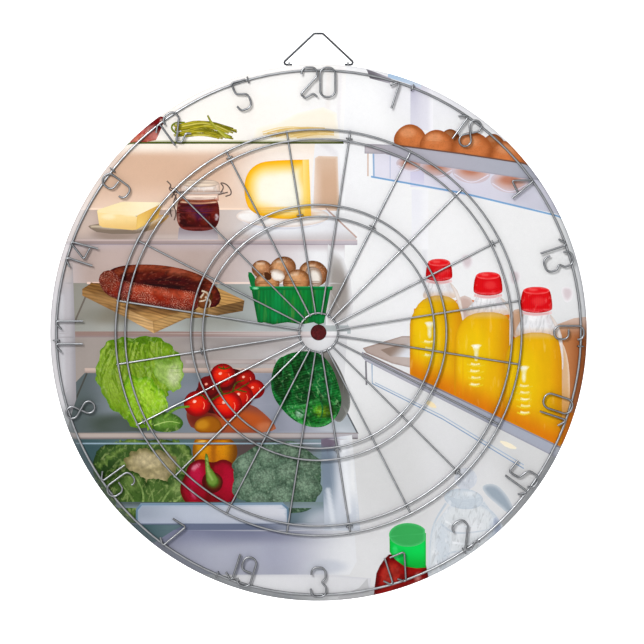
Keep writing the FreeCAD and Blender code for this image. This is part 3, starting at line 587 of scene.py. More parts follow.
def draw_drawer():
    draw([(-245, -88), (6, -88), (16, -160), (-245, -160)], (84, 106, 108), across(-60, 0, (128, 146, 154)),
         across(0, 10, (122, 136, 150)), spot(-196, -110, 36, 34, (62, 84, 88), 0.9),
         upward(-136, -160, (96, 112, 124), 0.7), spot(-50, -98, 60, 12, (88, 66, 64)),
         spot(8, -160, 30, 18, (184, 190, 200), 0.9))
    # cauliflower in its leaves
    draw(frilled([(-190, -104), (-176, -91), (-146, -90), (-118, -90), (-103, -100), (-103, -128),
                  (-112, -152), (-140, -160), (-170, -160), (-186, -138)], 1.2, 3), (66, 92, 48),
         spot(-178, -118, 12, 22, (44, 66, 36)), spot(-112, -112, 12, 20, (84, 112, 56)),
         spot(-140, -92, 24, 5, (112, 134, 70)), rim(4, (40, 60, 36), 0.7), finish="leaf")
    for x0, z0, x1, z1, w in ((-184, -112, -164, -98, 5), (-178, -124, -160, -108, 6),
                              (-120, -92, -106, -112, 6), (-132, -92, -112, -122, 5),
                              (-168, -94, -146, -94, 5)):
        draw(frilled(sausage_outline([(x0, z0), ((x0 + x1) / 2 + 2, (z0 + z1) / 2 + 3), (x1, z1)], w), 0.7,
                     int(-x0), 1), (118, 144, 74), rim(2.2, (66, 94, 44), 0.85), finish="leaf")
    draw(frilled([(-163, -108), (-156, -99), (-146, -97), (-134, -99), (-122, -101), (-117, -110),
                  (-122, -121), (-134, -128), (-150, -126), (-161, -118)], 1.0, 8), (178, 164, 120),
         spot(-142, -107, 18, 9, (214, 198, 156), 0.85), spot(-130, -120, 12, 7, (196, 180, 136), 0.7),
         rim(4, (120, 116, 70), 0.75), finish="curd")
    draw(frilled([(-186, -126), (-170, -112), (-152, -116), (-140, -128), (-136, -146), (-142, -160),
                  (-166, -160), (-180, -146)], 1.3, 5), (72, 100, 48), rim(4, (42, 64, 30)),
         spot(-156, -126, 9, 9, (116, 142, 76)), spot(-172, -140, 8, 12, (52, 78, 40)), finish="leaf")
    draw(frilled([(-148, -126), (-138, -120), (-126, -128), (-114, -116), (-106, -128), (-108, -146),
                  (-124, -158), (-146, -158)], 1.2, 6), (80, 108, 54), rim(3.4, (44, 68, 32)),
         spot(-118, -130, 9, 8, (124, 148, 86)), finish="leaf")
    strokes([[(-150, -156), (-156, -138), (-170, -122)], [(-148, -150), (-146, -134), (-154, -120)],
             [(-140, -158), (-138, -140), (-142, -128)], [(-134, -154), (-130, -138), (-116, -124)],
             [(-128, -150), (-114, -136), (-108, -128)]], 2.6, 0.8, (150, 172, 106),
            rim(1.0, (100, 128, 66), 0.85), finish="leaf")
    # peppers
    draw(smooth([(-105, -90), (-98, -86), (-88, -89), (-76, -87), (-68, -94), (-68, -106), (-78, -116),
                 (-96, -116), (-106, -106)]), (204, 126, 14), spot(-98, -96, 8, 10, (226, 158, 30)),
         spot(-78, -97, 9, 10, (216, 142, 20)), streak([(-88, -90), (-88, -112)], 3, (156, 88, 8), 0.7),
         rim(4.5, (150, 84, 10)), upward(-102, -116, (160, 92, 12), 0.6),
         across(-80, -69, (104, 64, 22), 0.8), across(-98, -106, (130, 84, 26), 0.7),
         streak([(-101, -93), (-96, -91)], 1.6, (246, 210, 130), 0.7), finish="egg")
    draw(smooth([(-112, -120), (-109, -110), (-98, -105), (-89, -110), (-79, -105), (-69, -112), (-66, -128),
                 (-70, -143), (-84, -151), (-100, -151), (-113, -142), (-117, -130)]), (158, 20, 46),
         spot(-103, -120, 9, 12, (198, 40, 74)), spot(-75, -122, 8, 16, (178, 24, 54)),
         spot(-90, -141, 14, 7, (120, 8, 34)), rim(5, (92, 8, 28), 0.85),
         streak([(-105, -114), (-101, -111)], 2.4, (226, 140, 160)),
         streak([(-107, -132), (-104, -138)], 2, (206, 90, 120), 0.7),
         streak([(-98, -145), (-84, -146)], 1.8, (200, 80, 110), 0.7),
         streak([(-89, -110), (-90, -119)], 3, (96, 8, 26)),
         streak([(-92, -134), (-94, -148)], 3, (110, 8, 32), 0.7), finish="egg")
    draw(smooth([(-99, -124), (-93, -116), (-85, -117), (-79, -124), (-83, -134), (-94, -135)]), (84, 20, 24),
         spot(-88, -125, 8, 8, (84, 110, 44), 0.9))
    draw(smooth([(-95.5, -101), (-92.5, -102), (-91.6, -112), (-87.6, -117), (-83, -125), (-88, -130),
                 (-94, -126), (-94.6, -116)], 1), (112, 146, 62), rim(1.6, (62, 94, 34)),
         streak([(-93.6, -104), (-92.6, -116), (-89, -124)], 1.2, (160, 188, 104)))
    # broccoli
    draw(smooth([(-70, -108), (-72, -122), (-66, -138), (-52, -148), (-28, -152), (-6, -150), (0, -136),
                 (3, -118), (-2, -104), (-14, -95), (-30, -91), (-46, -92), (-58, -98)]), (96, 126, 98),
         rim(6, (66, 92, 74), 0.7), finish="florets")
    for x, z, r in ((-58, -112, 14), (-60, -130, 13), (-40, -104, 14), (-44, -124, 14), (-22, -102, 13),
                    (-24, -118, 14), (-8, -112, 11), (-10, -130, 13), (-30, -138, 14), (-48, -142, 11)):
        draw(smooth([(x + r * (1 + 0.14 * math.sin(5 * a + x)) * math.cos(a),
                      z + r * 0.86 * (1 + 0.12 * math.cos(4 * a + z)) * math.sin(a))
                     for a in [2 * math.pi * k / 12 for k in range(12)]]), (112, 140, 116),
             rim(r * 0.5, (90, 116, 96), 0.7), spot(x - 2, z + 3, r * 0.8, r * 0.6, (136, 162, 138), 0.7),
             finish="florets")
    # front of the drawer: a pale veil, its rim and the handle
    draw([(-245, -84), (33, -84), (33, -89.4), (-245, -89.4)], (184, 170, 162),
         across(-60, 20, (184, 180, 186)), upward(-87, -89.4, (104, 98, 100), 0.85),
         upward(-85.2, -84, (130, 118, 110), 0.8))
    draw(rect(-204, -93.6, 8, -92.4), (146, 170, 184), across(-60, 0, (190, 196, 206)))
    draw(rect(-170, -147, 4, -142), (84, 96, 96), across(-80, 0, (120, 138, 140)),
         upward(-143, -147, (140, 152, 164), 0.7))
    draw([(-153, -160), (-153, -148), (-149, -143), (-30, -142.4), (-25, -147), (-24.6, -160)],
         (104, 130, 152), upward(-146, -142, (136, 160, 178), 0.8))
    draw([(-151.4, -160), (-151.4, -149), (-148, -144.8), (-31, -144.2), (-26.6, -148), (-26.2, -160)],
         (182, 189, 203), across(-110, -40, (208, 210, 218)), across(-110, -150, (152, 160, 174)),
         rim(1.3, (150, 170, 190), 0.7), upward(-152, -160, (176, 182, 198), 0.6))
    draw([(-245, -160), (8, -160), (14, -166), (-245, -166)], (104, 112, 134),
         across(-60, 8, (196, 200, 210)))
    draw([(-245, -165.5), (30, -165.5), (32, -192), (26, -203), (-245, -203)], (168, 170, 184),
         across(-90, -150, (122, 124, 138)), upward(-184, -165, (112, 116, 140), 0.9),
         spot(-40, -186, 60, 14, (172, 174, 190)), grainy(20, (152, 154, 174), 0.3, 9),
         across(-40, 28, (228, 229, 232)), spot(6, -196, 24, 8, (196, 200, 210)))
    draw([(-160, -161), (-112, -161), (-122, -166), (-150, -184), (-172, -184)], (58, 82, 84),
         across(-160, -120, (96, 116, 122)))
    draw([(-245, -203), (14, -203.5), (44, -206), (40, -245), (-245, -245)], (220, 220, 223),
         upward(-210, -228, (206, 207, 208), 0.8), rim(2, (204, 204, 210), 0.6),
         across(-60, -110, (176, 178, 178), 0.8))
    # cloudy side wall between drawer and door
    draw([(2, -89), (28, -86), (33, -140), (35, -166), (5, -166), (4, -130)], (124, 138, 154),
         across(9, 19, (216, 220, 228)), across(18, 30, (238, 239, 240)),
         upward(-126, -152, (200, 206, 216), 0.9), spot(8, -92, 12, 7, (112, 84, 100), 0.6),
         streak([(20, -92), (25, -150)], 4, (244, 246, 249)),
         streak([(8, -132), (13, -164)], 3, (228, 232, 238), 0.7),
         streak([(29, -90), (33, -160)], 1.0, (222, 224, 228)))
    # dark corner at the lower left edge
    draw([(-245, -90), (-207, -88), (-199, -120), (-184, -150), (-160, -176), (-128, -200), (-96, -245),
          (-245, -245)], (66, 78, 76), ramp((-200, -100), (-180, -140), (48, 58, 56)),
         ramp((-170, -170), (-120, -205), (150, 152, 154)),
         ramp((-205, -95), (-207, -80), (128, 142, 146), 0.8))
    # leaf tips that hang over the drawer's edge
    draw(smooth([(-140, -68), (-124, -66), (-112, -74), (-116, -82), (-128, -84), (-140, -82)]),
         (104, 148, 60), rim(6, (52, 86, 34), 0.75), finish="leaf")
    draw(ribbon([(-138, -78), (-126, -74), (-116, -76)], 1.1, 0.385), (170, 200, 110))
    draw(ribbon([(-130, -72), (-120, -63), (-108, -62)], 3.2, 1.6), (124, 168, 64), rim(1.2, (76, 112, 40)))


def draw_eggs():
    def egg(x, z, rx, rz, tone=1.0):
        """An oval that narrows towards its top."""
        outline = [(x + (px - x) * (1 - 0.16 * (pz - z) / rz), pz) for px, pz in oval(x, z, rx, rz)]
        draw(outline, toned((210, 123, 72), tone), rim(rx * 0.42, toned((156, 84, 46), tone), 0.85),
             spot(x - rx * 0.15, z + rz * 0.4, rx * 0.7, rz * 0.5, toned((228, 154, 106), tone), 0.9),
             finish="egg")
    # shadow under the eggs, then the three eggs behind and the four in front
    draw([(66, 150), (70, 160), (112, 160), (146, 155), (176, 150), (200, 132), (200, 124)], (128, 74, 48),
         rim(4, (96, 52, 34), 0.7))
    egg(110.3, 163.5, 8, 7, 0.74)
    egg(147, 159.5, 9, 7, 0.8)
    egg(180, 149, 12, 9, 0.9)
    for x, z, rx, rz in ((76.8, 163, 13.6, 11.5), (99, 158.4, 14.2, 11.5), (128.5, 155, 17, 13),
                         (160, 149, 16.6, 12.5)):
        egg(x, z, rx, rz)
    # clear tray below: lilac plastic, undersides of the eggs, blue lower edge
    draw([(45, 152), (200, 130), (218, 100), (218, 92), (200, 99.6), (46, 130)], (232, 230, 242),
         across(100, 180, (208, 204, 218)), ramp((0, 126), (120, 108), (218, 215, 230), 0.5),
         across(120, 205, (196, 198, 210), 0.7), grainy(9, (226, 224, 234), 0.4, 2))
    draw(rect(77, 122, 88.5, 150), (214, 210, 232), upward(130, 122, (226, 224, 240)))
    for x, z, rx, rz in ((77, 141, 12, 6), (99, 138, 14, 8), (128, 134, 16, 9), (160, 126, 16, 9)):
        draw(oval(x, z, rx, rz, -6), (208, 166, 154), rim(rx * 0.42, (212, 200, 210), 0.95),
             spot(x, z + 2, rx * 0.68, rz * 0.6, (190, 126, 102), 0.9))
        draw(ribbon([(x - rx * 0.9, z - 1), (x, z - rz - 1), (x + rx * 0.9, z - 2)], 0.9, None, 3),
             (228, 222, 234))
    bar([(44, 130.6), (120, 117), (216, 94)], 1.5, (126, 170, 212))
    bar([(46, 152), (46.4, 131)], 1.4, (150, 180, 214))
    bar([(41.4, 152), (41.4, 131)], 1.2, (218, 190, 176))
    bar([(60, 150), (60, 129)], 0.8, (196, 200, 222))
    draw([(38.6, 158.2), (62.5, 157.2), (120, 149.6), (176, 141.4), (224, 128), (224, 112), (186, 127.6),
          (165.6, 130), (85, 141.6), (56, 149.6), (38.6, 150)], (196, 188, 194),
         across(44, 70, (184, 186, 200)), across(90, 170, (172, 182, 198)),
         ramp((60, 160), (62, 154), (176, 170, 178), 0.5), rim(1.3, (150, 146, 158), 0.55))
    bar([(62, 157.4), (120, 149.8), (180, 140.6)], 1.2, (112, 84, 72))


def bottle(x, top, cap_half, cap_height, left, right, fill, fill_half, bottom_left, bottom_right, glint_x,
           glint_z, ridges):
    """A juice bottle: clear neck, sloping shoulders, glints on its ridges and a ribbed cap."""
    neck = cap_half - 2.4
    base = top - cap_height
    shoulder = fill - 19
    draw(smooth([(x - neck, base + 2), (x - neck - 0.6, base - 4), (x - fill_half - 0.6, fill + 2),
                 (x - fill_half, fill - 3), (x + fill_half, fill - 3), (x + fill_half + 2, fill + 2),
                 (x + neck + 0.8, base - 4), (x + neck, base + 2)], 1), (238, 237, 239),
         rim(1.6, (206, 202, 206), 0.75), spot(x - 4, base - 5, 6, 4, (251, 250, 251), 0.9),
         streak([(x + neck - 2, base - 4), (x + fill_half - 3, fill)], 2.4, (220, 214, 216)),
         upward(fill + 5, fill - 1, (224, 196, 172), 0.8), finish="glassy")
    draw(smooth([(x + neck, base - 2), (x + fill_half + 1, fill), (right - 1, shoulder),
                 (right - 1, shoulder - 12), (right + 1.4, shoulder - 12), (right + 1.4, shoulder + 1),
                 (x + fill_half + 4, fill + 2), (x + neck + 1.8, base - 2)], 1), (236, 226, 220),
         rim(0.8, (204, 186, 174), 0.7))
    upper = smooth([(left, shoulder - 14), (left, shoulder), (x - fill_half, fill), (x + fill_half, fill),
                    (right, shoulder), (right, shoulder - 14)], 2, False)
    slope = np.array([0.42, 0.9]) * 18
    foot = np.array([right, bottom_right + 1.0])
    draw(upper + [(right, bottom_right), (left, bottom_left)], (236, 180, 12),
         spot((left + x) / 2 + 2, (shoulder + bottom_left) / 2 + 8, (right - left) * 0.42, 38, (244, 200, 8),
              0.95), across(right - 13, right, (216, 142, 18), 0.85),
         across(left + 4, left, (222, 156, 20), 0.7), ramp(foot + 1.3 * slope, foot, (220, 118, 12), 0.9),
         upward(fill - 8, fill, (222, 186, 140), 0.85), rim(2.2, (206, 150, 40), 0.5), finish="juice")
    draw(ribbon([(x - cap_half * 0.98, base - 0.2), (x, base - 2.6), (x + cap_half * 0.98, base - 0.2)], 2.4),
         (226, 168, 168), rim(0.8, (240, 220, 222)))
    draw(smooth([(x - cap_half * 0.92, top - 4.4), (x - cap_half * 0.66, top - 0.9), (x, top),
                 (x + cap_half * 0.66, top - 0.9), (x + cap_half * 0.92, top - 4.4),
                 (x + cap_half * 1.04, base + 5), (x + cap_half * 0.96, base + 1), (x, base - 1.2),
                 (x - cap_half * 0.96, base + 1), (x - cap_half * 1.04, base + 5)]), (224, 27, 36),
         rim(2.2, (164, 8, 20), 0.75),
         spot(x + cap_half * 0.15, base + cap_height * 0.42, cap_half * 0.6, 5, (238, 66, 66), 0.75),
         streak([(x - cap_half * 0.95, base + 2.2), (x, base + 0.4), (x + cap_half * 0.95, base + 2.2)], 1.2,
                (246, 130, 130), 0.6), finish="cap_ribs")
    draw(oval(x, top - 3.4, cap_half * 0.84, 3.0), (234, 34, 40), rim(1.0, (250, 128, 124), 0.7),
         spot(x - cap_half * 0.2, top - 3.0, cap_half * 0.4, 1.4, (252, 110, 106), 0.7))
    rng = random.Random(ridges)
    draw(smooth([(glint_x - 5.4, glint_z + 0.6), (glint_x + 2, glint_z + 1.6), (glint_x + 5.6, glint_z + 0.4),
                 (glint_x + 2.4, glint_z - 2), (glint_x + 2, glint_z - 13), (glint_x - 1.8, glint_z - 13),
                 (glint_x - 2, glint_z - 2)], 1), (246, 234, 168), rim(1.5, (238, 208, 60), 0.85),
         spot(glint_x, glint_z - 0.6, 5, 2.4, (255, 252, 240), 0.9),
         spot(glint_x, glint_z - 9, 1.6, 5, (255, 250, 226), 0.7))
    for i in range(ridges):
        z, w = glint_z - 16.5 - 5.6 * i, 7.6 - 0.5 * i
        draw(ribbon([(glint_x - w, z + 1), (glint_x, z - 1.4), (glint_x + w, z + 0.6)], 1.5, 1.0),
             (246, 220, 90), rim(0.6, (234, 196, 30)))
        shift = rng.uniform(-1.4, 1.4)
        draw(ribbon([(glint_x - 3.6 + shift, z + 1.4), (glint_x + shift, z + 0.4),
                     (glint_x + 4 + shift, z + 1.2)], 2.2, 1.2), (255, 248, 214),
             rim(0.7, (246, 222, 110), 0.85))


def draw_bottles():
    # rack frame behind the bottles
    draw([(37, -13), (70, -3), (84, -3), (84, -31), (62, -26), (40, -17)], (184, 166, 158),
         across(50, 76, (196, 182, 176)), rim(1.4, (150, 130, 122), 0.7))
    draw([(52, -14.5), (70, -9.6), (77, -9), (77, -21), (60, -20)], (150, 130, 118),
         ramp((64, -12), (72, -20), (226, 228, 234)))
    # juice-coloured depth between the bottles
    draw([(78, -5), (80, 20), (110, 24), (120, 30), (160, 18), (196, 6), (226, 10), (232, -40), (218, -96),
          (196, -93), (100, -47), (78, -36)], (222, 136, 34), upward(30, 6, (232, 160, 90), 0.8),
         across(185, 206, (190, 124, 76)), ramp((0, -20), (60, -70), (218, 112, 16), 0.6))
    draw(smooth([(112, 22), (120, 32), (130, 28), (132, 10), (116, 6)], 1), (204, 178, 168),
         rim(3, (222, 206, 200)))
    draw(smooth([(158, 10), (166, 22), (176, 14), (178, -4), (160, -4)], 1), (206, 164, 134),
         rim(3, (222, 196, 178)))
    draw([(198, 6), (214, 12), (232, 14), (236, -30), (224, -70), (206, -66)], (192, 128, 82),
         across(206, 222, (158, 92, 56)), upward(-6, 12, (214, 186, 170)))
    for x, z in ((124, 60), (164, 47), (208, 33)):
        draw(smooth([(x - 6, z + 6), (x + 6, z + 5), (x + 5, z - 6), (x - 2, z - 9)]), (238, 235, 237),
             spot(x, z, 7, 8, (214, 198, 202)), rim(3, (242, 240, 242), 0.9))
    bottle(101, 62, 11.0, 18.5, 76.5, 121, 31, 13, -35, -58, 93, 8, 3)
    bottle(142, 51, 12.0, 19.5, 114, 160, 17, 18, -54, -77, 132, -11, 4)
    draw(smooth([(192, 2), (200, 0), (210, -20), (211, -62), (206, -84), (197, -84), (197, -30)]),
         (220, 180, 138), rim(2.0, (238, 216, 196)), upward(-36, -76, (220, 152, 70), 0.85))
    bottle(182.5, 38.5, 13.2, 21.5, 156, 204, 0, 17, -72, -98, 172, -29, 5)
    # front bar of the rack and the edges of its clear front
    draw([(36.5, -16), (40, -18), (204, -96.5), (240, -114), (240, -124), (196, -103.4), (39.5, -24),
          (36, -20)], (190, 190, 202), across(60, 140, (170, 174, 188)), across(190, 206, (196, 198, 206)),
         rim(1.4, (140, 136, 148), 0.5))
    bar([(38, -17.4), (120, -56.6), (204, -97)], 1.3, (138, 124, 124), across(90, 150, (150, 148, 158)))
    bar([(39.6, -24), (40.2, -44)], 1.5, (132, 130, 136))
    bar([(44.8, -26), (45, -42.6), (104, -72.5), (172, -114)], 0.9, (140, 166, 196))
    bar([(47.4, -42), (104, -70), (172, -111)], 0.8, (170, 188, 210))
    draw(smooth([(88, -56), (96, -58), (100, -64), (92, -62)], 1), (250, 232, 190))
    draw(smooth([(150, -90), (160, -92), (168, -98), (158, -97)], 1), (250, 240, 214))


def draw_lower_door_food():
    # clear water bottle seen from above
    crease = (186, 197, 208)
    draw(smooth([(92, -245), (91, -190), (94, -166), (104, -152), (112, -142), (132, -142), (148, -150),
                 (160, -172), (172, -245)]), (222, 226, 229), rim(4, (206, 213, 220), 0.7),
         spot(104, -180, 9, 30, (208, 216, 224)), spot(148, -170, 7, 22, (196, 206, 218)),
         spot(124, -164, 20, 10, (234, 236, 239), 0.9), spot(128, -196, 22, 9, (212, 219, 226), 0.7),
         finish="glassy")
    draw(smooth([(136, -128), (148, -126), (158, -136), (164, -148), (161, -154), (152, -146), (140, -136)]),
         (158, 170, 182), rim(3.4, (206, 212, 218), 0.9))
    draw(oval(123.4, -122.5, 9.4, 9.2), (204, 209, 217), rim(3.4, (212, 216, 224)),
         spot(121, -117, 6, 3, (228, 231, 237), 0.9), finish="glassy")
    draw(oval(121.7, -139.4, 16.4, 8.6, -6), (208, 216, 223), rim(2.4, (190, 200, 211), 0.7),
         spot(126, -135, 9, 3, (230, 234, 238)), finish="glassy")
    for k in range(6):
        w = 15.4 - 1.1 * k
        draw(ribbon([(121.7 - w, -136.6 - 1.1 * k), (121, -141.6 - 1.3 * k), (121.7 + w, -138 - 1.2 * k)],
                    0.7), crease, rim(0.4, (206, 214, 221), 0.6))
    strokes([[(107, -143), (97, -158), (93, -176), (93, -210)], [(136, -144), (148, -152), (156, -166)],
             [(138, -142), (144, -150), (148, -156)], [(102, -160), (112, -168), (128, -168), (148, -164)],
             [(104, -188), (114, -183), (126, -184)], [(132, -196), (146, -200), (156, -194)],
             [(100, -202), (112, -206), (124, -202)]], 2.4, 0.8, crease, rim(1.1, (214, 220, 226), 0.9))
    draw(smooth([(146, -156), (150, -154), (156, -170), (152, -176), (147, -168)], 1), (170, 180, 200),
         rim(1.6, (200, 207, 220)))
    draw(smooth([(128, -183), (146, -186), (152, -190), (136, -188)], 1), (168, 180, 200),
         rim(1.2, (204, 211, 222)))
    strokes([[(106, -158), (116, -163), (134, -162)], [(98, -192), (104, -206)],
             [(112, -176), (128, -178), (140, -176)]], 2.2, 0.8, (244, 246, 248),
            rim(1.0, (230, 234, 238), 0.9))
    # sauce bottle with a green lid
    draw(smooth([(61, -184), (53, -192), (47, -205), (46, -245), (96, -245), (92, -196), (84, -190)], 1),
         (158, 34, 32), spot(60, -203, 11, 16, (196, 60, 50), 0.9), rim(5, (96, 10, 14), 0.85),
         upward(-196, -190, (104, 14, 16), 0.6), streak([(83, -203), (82, -222)], 2.6, (240, 170, 160)),
         finish="jelly")
    lid_right = 90.01
    draw([(59.4, -171), (90, -168), (90, -197), (82, -197.6), (72, -196), (64, -190), (59.6, -184)],
         (22, 200, 76), across(60, 70, (30, 214, 88)), upward(-182, -197, (8, 168, 56), 0.8),
         rim(1.3, (8, 140, 48), 0.6), streak([(64, -181), (66, -194)], 3, (80, 230, 130), 0.6))
    draw([p for p in oval(75, -169.6, 16, 10, 0, 40) if p[0] <= lid_right], (64, 172, 92),
         rim(2, (90, 204, 124), 0.7))
    draw([(41, -206), (34, -214), (16, -222), (20, -230), (44, -226)], (196, 196, 198))


for draw_part in (draw_door_side, draw_cabinet, draw_top_shelf_food, draw_first_shelf_food,
                  draw_second_shelf_food, draw_third_shelf_food, draw_drawer, draw_eggs, draw_bottles,
                  draw_lower_door_food):
    draw_part()


# ---------------------------------------------------------------- node materials
def new_material(name, **sockets):
    """A material, its node tree and its shader, with some of the shader's own values set."""
    mat = bpy.data.materials.new(name)
    mat.use_nodes = True
    shader = mat.node_tree.nodes["Principled BSDF"]
    for key, value in sockets.items():
        shader.inputs[key.replace("_", " ")].default_value = value
    return mat, mat.node_tree, shader


def place(name, data):
    """A new object in the scene."""
    piece = bpy.data.objects.new(name, data)
    bpy.context.collection.objects.link(piece)
    return piece


def add(tree, kind, **settings):
    node = tree.nodes.new(kind)
    for key, value in settings.items():
        setattr(node, key, value)
    return node


def feed(tree, socket, value):
    if isinstance(value, bpy.types.NodeSocket):
        tree.links.new(value, socket)
    else:
        socket.default_value = value


def coords(tree, scale=(1, 1, 1), turn=0.0):
    """Object coordinates, turned about the board's axis and then stretched."""
    source = add(tree, "ShaderNodeTexCoord").outputs["Object"]
    rotate = add(tree, "ShaderNodeMapping")
    rotate.inputs["Rotation"].default_value = (0, math.radians(turn), 0)
    tree.links.new(source, rotate.inputs["Vector"])
    stretch = add(tree, "ShaderNodeMapping")
    stretch.inputs["Scale"].default_value = scale
    tree.links.new(rotate.outputs["Vector"], stretch.inputs["Vector"])
    return stretch.outputs["Vector"]


def noise(tree, scale, detail=3.0, distortion=0.0, stretch=(1, 1, 1), turn=0.0):
    vector = coords(tree, stretch, turn)
    node = add(tree, "ShaderNodeTexNoise")
    feed(tree, node.inputs["Vector"], vector)
    node.inputs["Scale"].default_value = scale
    node.inputs["Detail"].default_value = detail
    node.inputs["Distortion"].default_value = distortion
    return node.outputs["Fac"]


def warp(tree, scale):
    """A colour noise, used as a vector that bends another pattern."""
    node = add(tree, "ShaderNodeTexNoise")
    feed(tree, node.inputs["Vector"], coords(tree))
    node.inputs["Scale"].default_value = scale
    return node.outputs["Color"]


def cells(tree, vector, scale, feature="F1"):
    node = add(tree, "ShaderNodeTexVoronoi", feature=feature)
    feed(tree, node.inputs["Vector"], vector)
    node.inputs["Scale"].default_value = scale
    return node.outputs["Distance"]


def bands(tree, vector, period, distortion=0.0, detail=2.0, direction="X", detail_scale=1.0):
    """Sine bands with a period in metres."""
    node = add(tree, "ShaderNodeTexWave", bands_direction=direction)
    feed(tree, node.inputs["Vector"], vector)
    node.inputs["Scale"].default_value = 2 * math.pi / (20 * period)
    node.inputs["Distortion"].default_value = distortion
    node.inputs["Detail"].default_value = detail
    node.inputs["Detail Scale"].default_value = detail_scale
    return node.outputs["Fac"]


def remap(tree, value, low, high, to_low=0.0, to_high=1.0):
    node = add(tree, "ShaderNodeMapRange")
    feed(tree, node.inputs["Value"], value)
    for key, number in (("From Min", low), ("From Max", high), ("To Min", to_low), ("To Max", to_high)):
        node.inputs[key].default_value = number
    return node.outputs["Result"]


def mix(tree, factor, a, b):
    node = add(tree, "ShaderNodeMix", data_type="RGBA")
    feed(tree, node.inputs[0], factor)
    feed(tree, node.inputs[6], a)
    feed(tree, node.inputs[7], b)
    return node.outputs[2]


def multiply(tree, a, b):
    node = add(tree, "ShaderNodeMath", operation="MULTIPLY")
    feed(tree, node.inputs[0], a)
    feed(tree, node.inputs[1], b)
    return node.outputs[0]


def relief(tree, shader, height, depth, strength=0.6):
    node = add(tree, "ShaderNodeBump")
    node.inputs["Strength"].default_value = strength
    node.inputs["Distance"].default_value = depth
    feed(tree, node.inputs["Height"], height)
    tree.links.new(node.outputs["Normal"], shader.inputs["Normal"])


def coat(made, colour, rough, height, depth, strength=0.6):
    """Joins a colour, a roughness and a relief to a material's shader."""
    mat, tree, shader = made
    feed(tree, shader.inputs["Base Color"], colour)
    feed(tree, shader.inputs["Roughness"], rough)
    relief(tree, shader, height, depth, strength)
    return mat


def to_linear(values):
    return np.where(values <= 0.04045, values / 12.92, ((values + 0.055) / 1.055) ** 2.4)


def linear(colour):
    return tuple(float(v) for v in to_linear(srgb(colour))) + (1.0,)


def two_tone(tree, value, low, high, dark, light):
    """A colour that runs from dark to light as a pattern runs from low to high."""
    return mix(tree, remap(tree, value, low, high), linear(dark), linear(light))


def patches(tree, value, amount, colour, tint):
    """A tint laid over a colour where a pattern is high."""
    return mix(tree, multiply(tree, value, amount), colour, linear(tint))


def darker(tree, colour, value, low, high, amount):
    """Multiplies a colour down where a pattern runs from high to low."""
    return mix(tree, remap(tree, value, low, high, amount, 0.0), colour, (0, 0, 0, 1))


def tinted(tree, colour, value, low, high, amount, tint):
    return mix(tree, remap(tree, value, low, high, 0.0, amount), colour, linear(tint))


def ink_plain(t, ink):
    return darker(t, ink, noise(t, 260, 4), 0.35, 0.65, 0.015)


def ink_leaf(t, ink):
    crinkle = noise(t, 300, 4, 1.6, stretch=(1, 1, 0.5), turn=25)
    c = darker(t, ink, crinkle, 0.36, 0.58, 0.3)
    c = tinted(t, c, noise(t, 260, 3, 1.0, stretch=(1, 1, 0.6), turn=-20), 0.54, 0.72, 0.3, (206, 226, 140))
    return darker(t, c, noise(t, 900, 2), 0.36, 0.56, 0.1)


def ink_savoy(t, ink):
    warped = mix(t, 0.006, coords(t), warp(t, 90))
    c = darker(t, ink, cells(t, warped, 420), 0.7, 0.2, 0.55)
    ribs = bands(t, mix(t, 0.004, coords(t, turn=14), warp(t, 60)), 0.0021, 1.2, 2.0, "Z")
    c = tinted(t, c, ribs, 0.72, 1.0, 0.12, (116, 196, 126))
    c = tinted(t, c, noise(t, 240), 0.54, 0.72, 0.4, (40, 156, 66))
    c = tinted(t, c, noise(t, 300, 4, 1.4, stretch=(1, 1, 0.5), turn=30), 0.6, 0.7, 0.5, (150, 214, 140))
    return darker(t, c, noise(t, 110, 4, 1.0), 0.38, 0.56, 0.66)


def ink_florets(t, ink):
    c = darker(t, ink, cells(t, coords(t), 620), 0.75, 0.2, 0.4)
    c = darker(t, c, noise(t, 210, 5, 1.0), 0.4, 0.54, 0.36)
    return tinted(t, c, noise(t, 420, 2), 0.56, 0.72, 0.3, (168, 192, 164))


def ink_curd(t, ink):
    c = darker(t, ink, cells(t, coords(t), 260, "SMOOTH_F1"), 0.75, 0.15, 0.4)
    return darker(t, c, noise(t, 420, 4), 0.38, 0.6, 0.25)


def ink_sausage(t, ink):
    c = darker(t, ink, noise(t, 130, 5, 1.0, stretch=(1, 1, 2.2), turn=14), 0.36, 0.62, 0.5)
    return tinted(t, c, noise(t, 330, 4, stretch=(1, 1, 2.0), turn=14), 0.56, 0.74, 0.3, (176, 96, 74))


def ink_salami(t, ink):
    c = darker(t, ink, noise(t, 300, 4), 0.36, 0.6, 0.4)
    bloom = multiply(t, remap(t, noise(t, 1000, 4), 0.48, 0.66), remap(t, noise(t, 110, 2), 0.38, 0.62))
    return patches(t, bloom, 0.6, c, (232, 166, 140))


def ink_meat(t, ink):
    c = darker(t, ink, noise(t, 160, 4), 0.36, 0.6, 0.4)
    return tinted(t, c, noise(t, 210, 4), 0.56, 0.68, 0.6, (236, 196, 178))


def ink_wood(t, ink):
    grain = bands(t, coords(t, (0.22, 1, 1), -14), 0.0026, 5.5, 3.0, "Z", 1.6)
    c = darker(t, ink, grain, 0.0, 0.75, 0.36)
    c = darker(t, c, noise(t, 900, 4, stretch=(0.12, 1, 1), turn=-14), 0.36, 0.6, 0.28)
    return tinted(t, c, noise(t, 90, 2, stretch=(0.3, 1, 1), turn=-14), 0.5, 0.7, 0.25, (226, 178, 116))


def ink_ribs(t, ink):
    c = darker(t, ink, bands(t, coords(t, (1, 1, 0.15)), 0.0031, 1.5, 2.0), 0.0, 0.7, 0.2)
    c = tinted(t, c, noise(t, 330, stretch=(1, 1, 0.12)), 0.56, 0.72, 0.3, (120, 170, 70))
    return darker(t, c, noise(t, 300, stretch=(1, 1, 0.15)), 0.4, 0.6, 0.2)


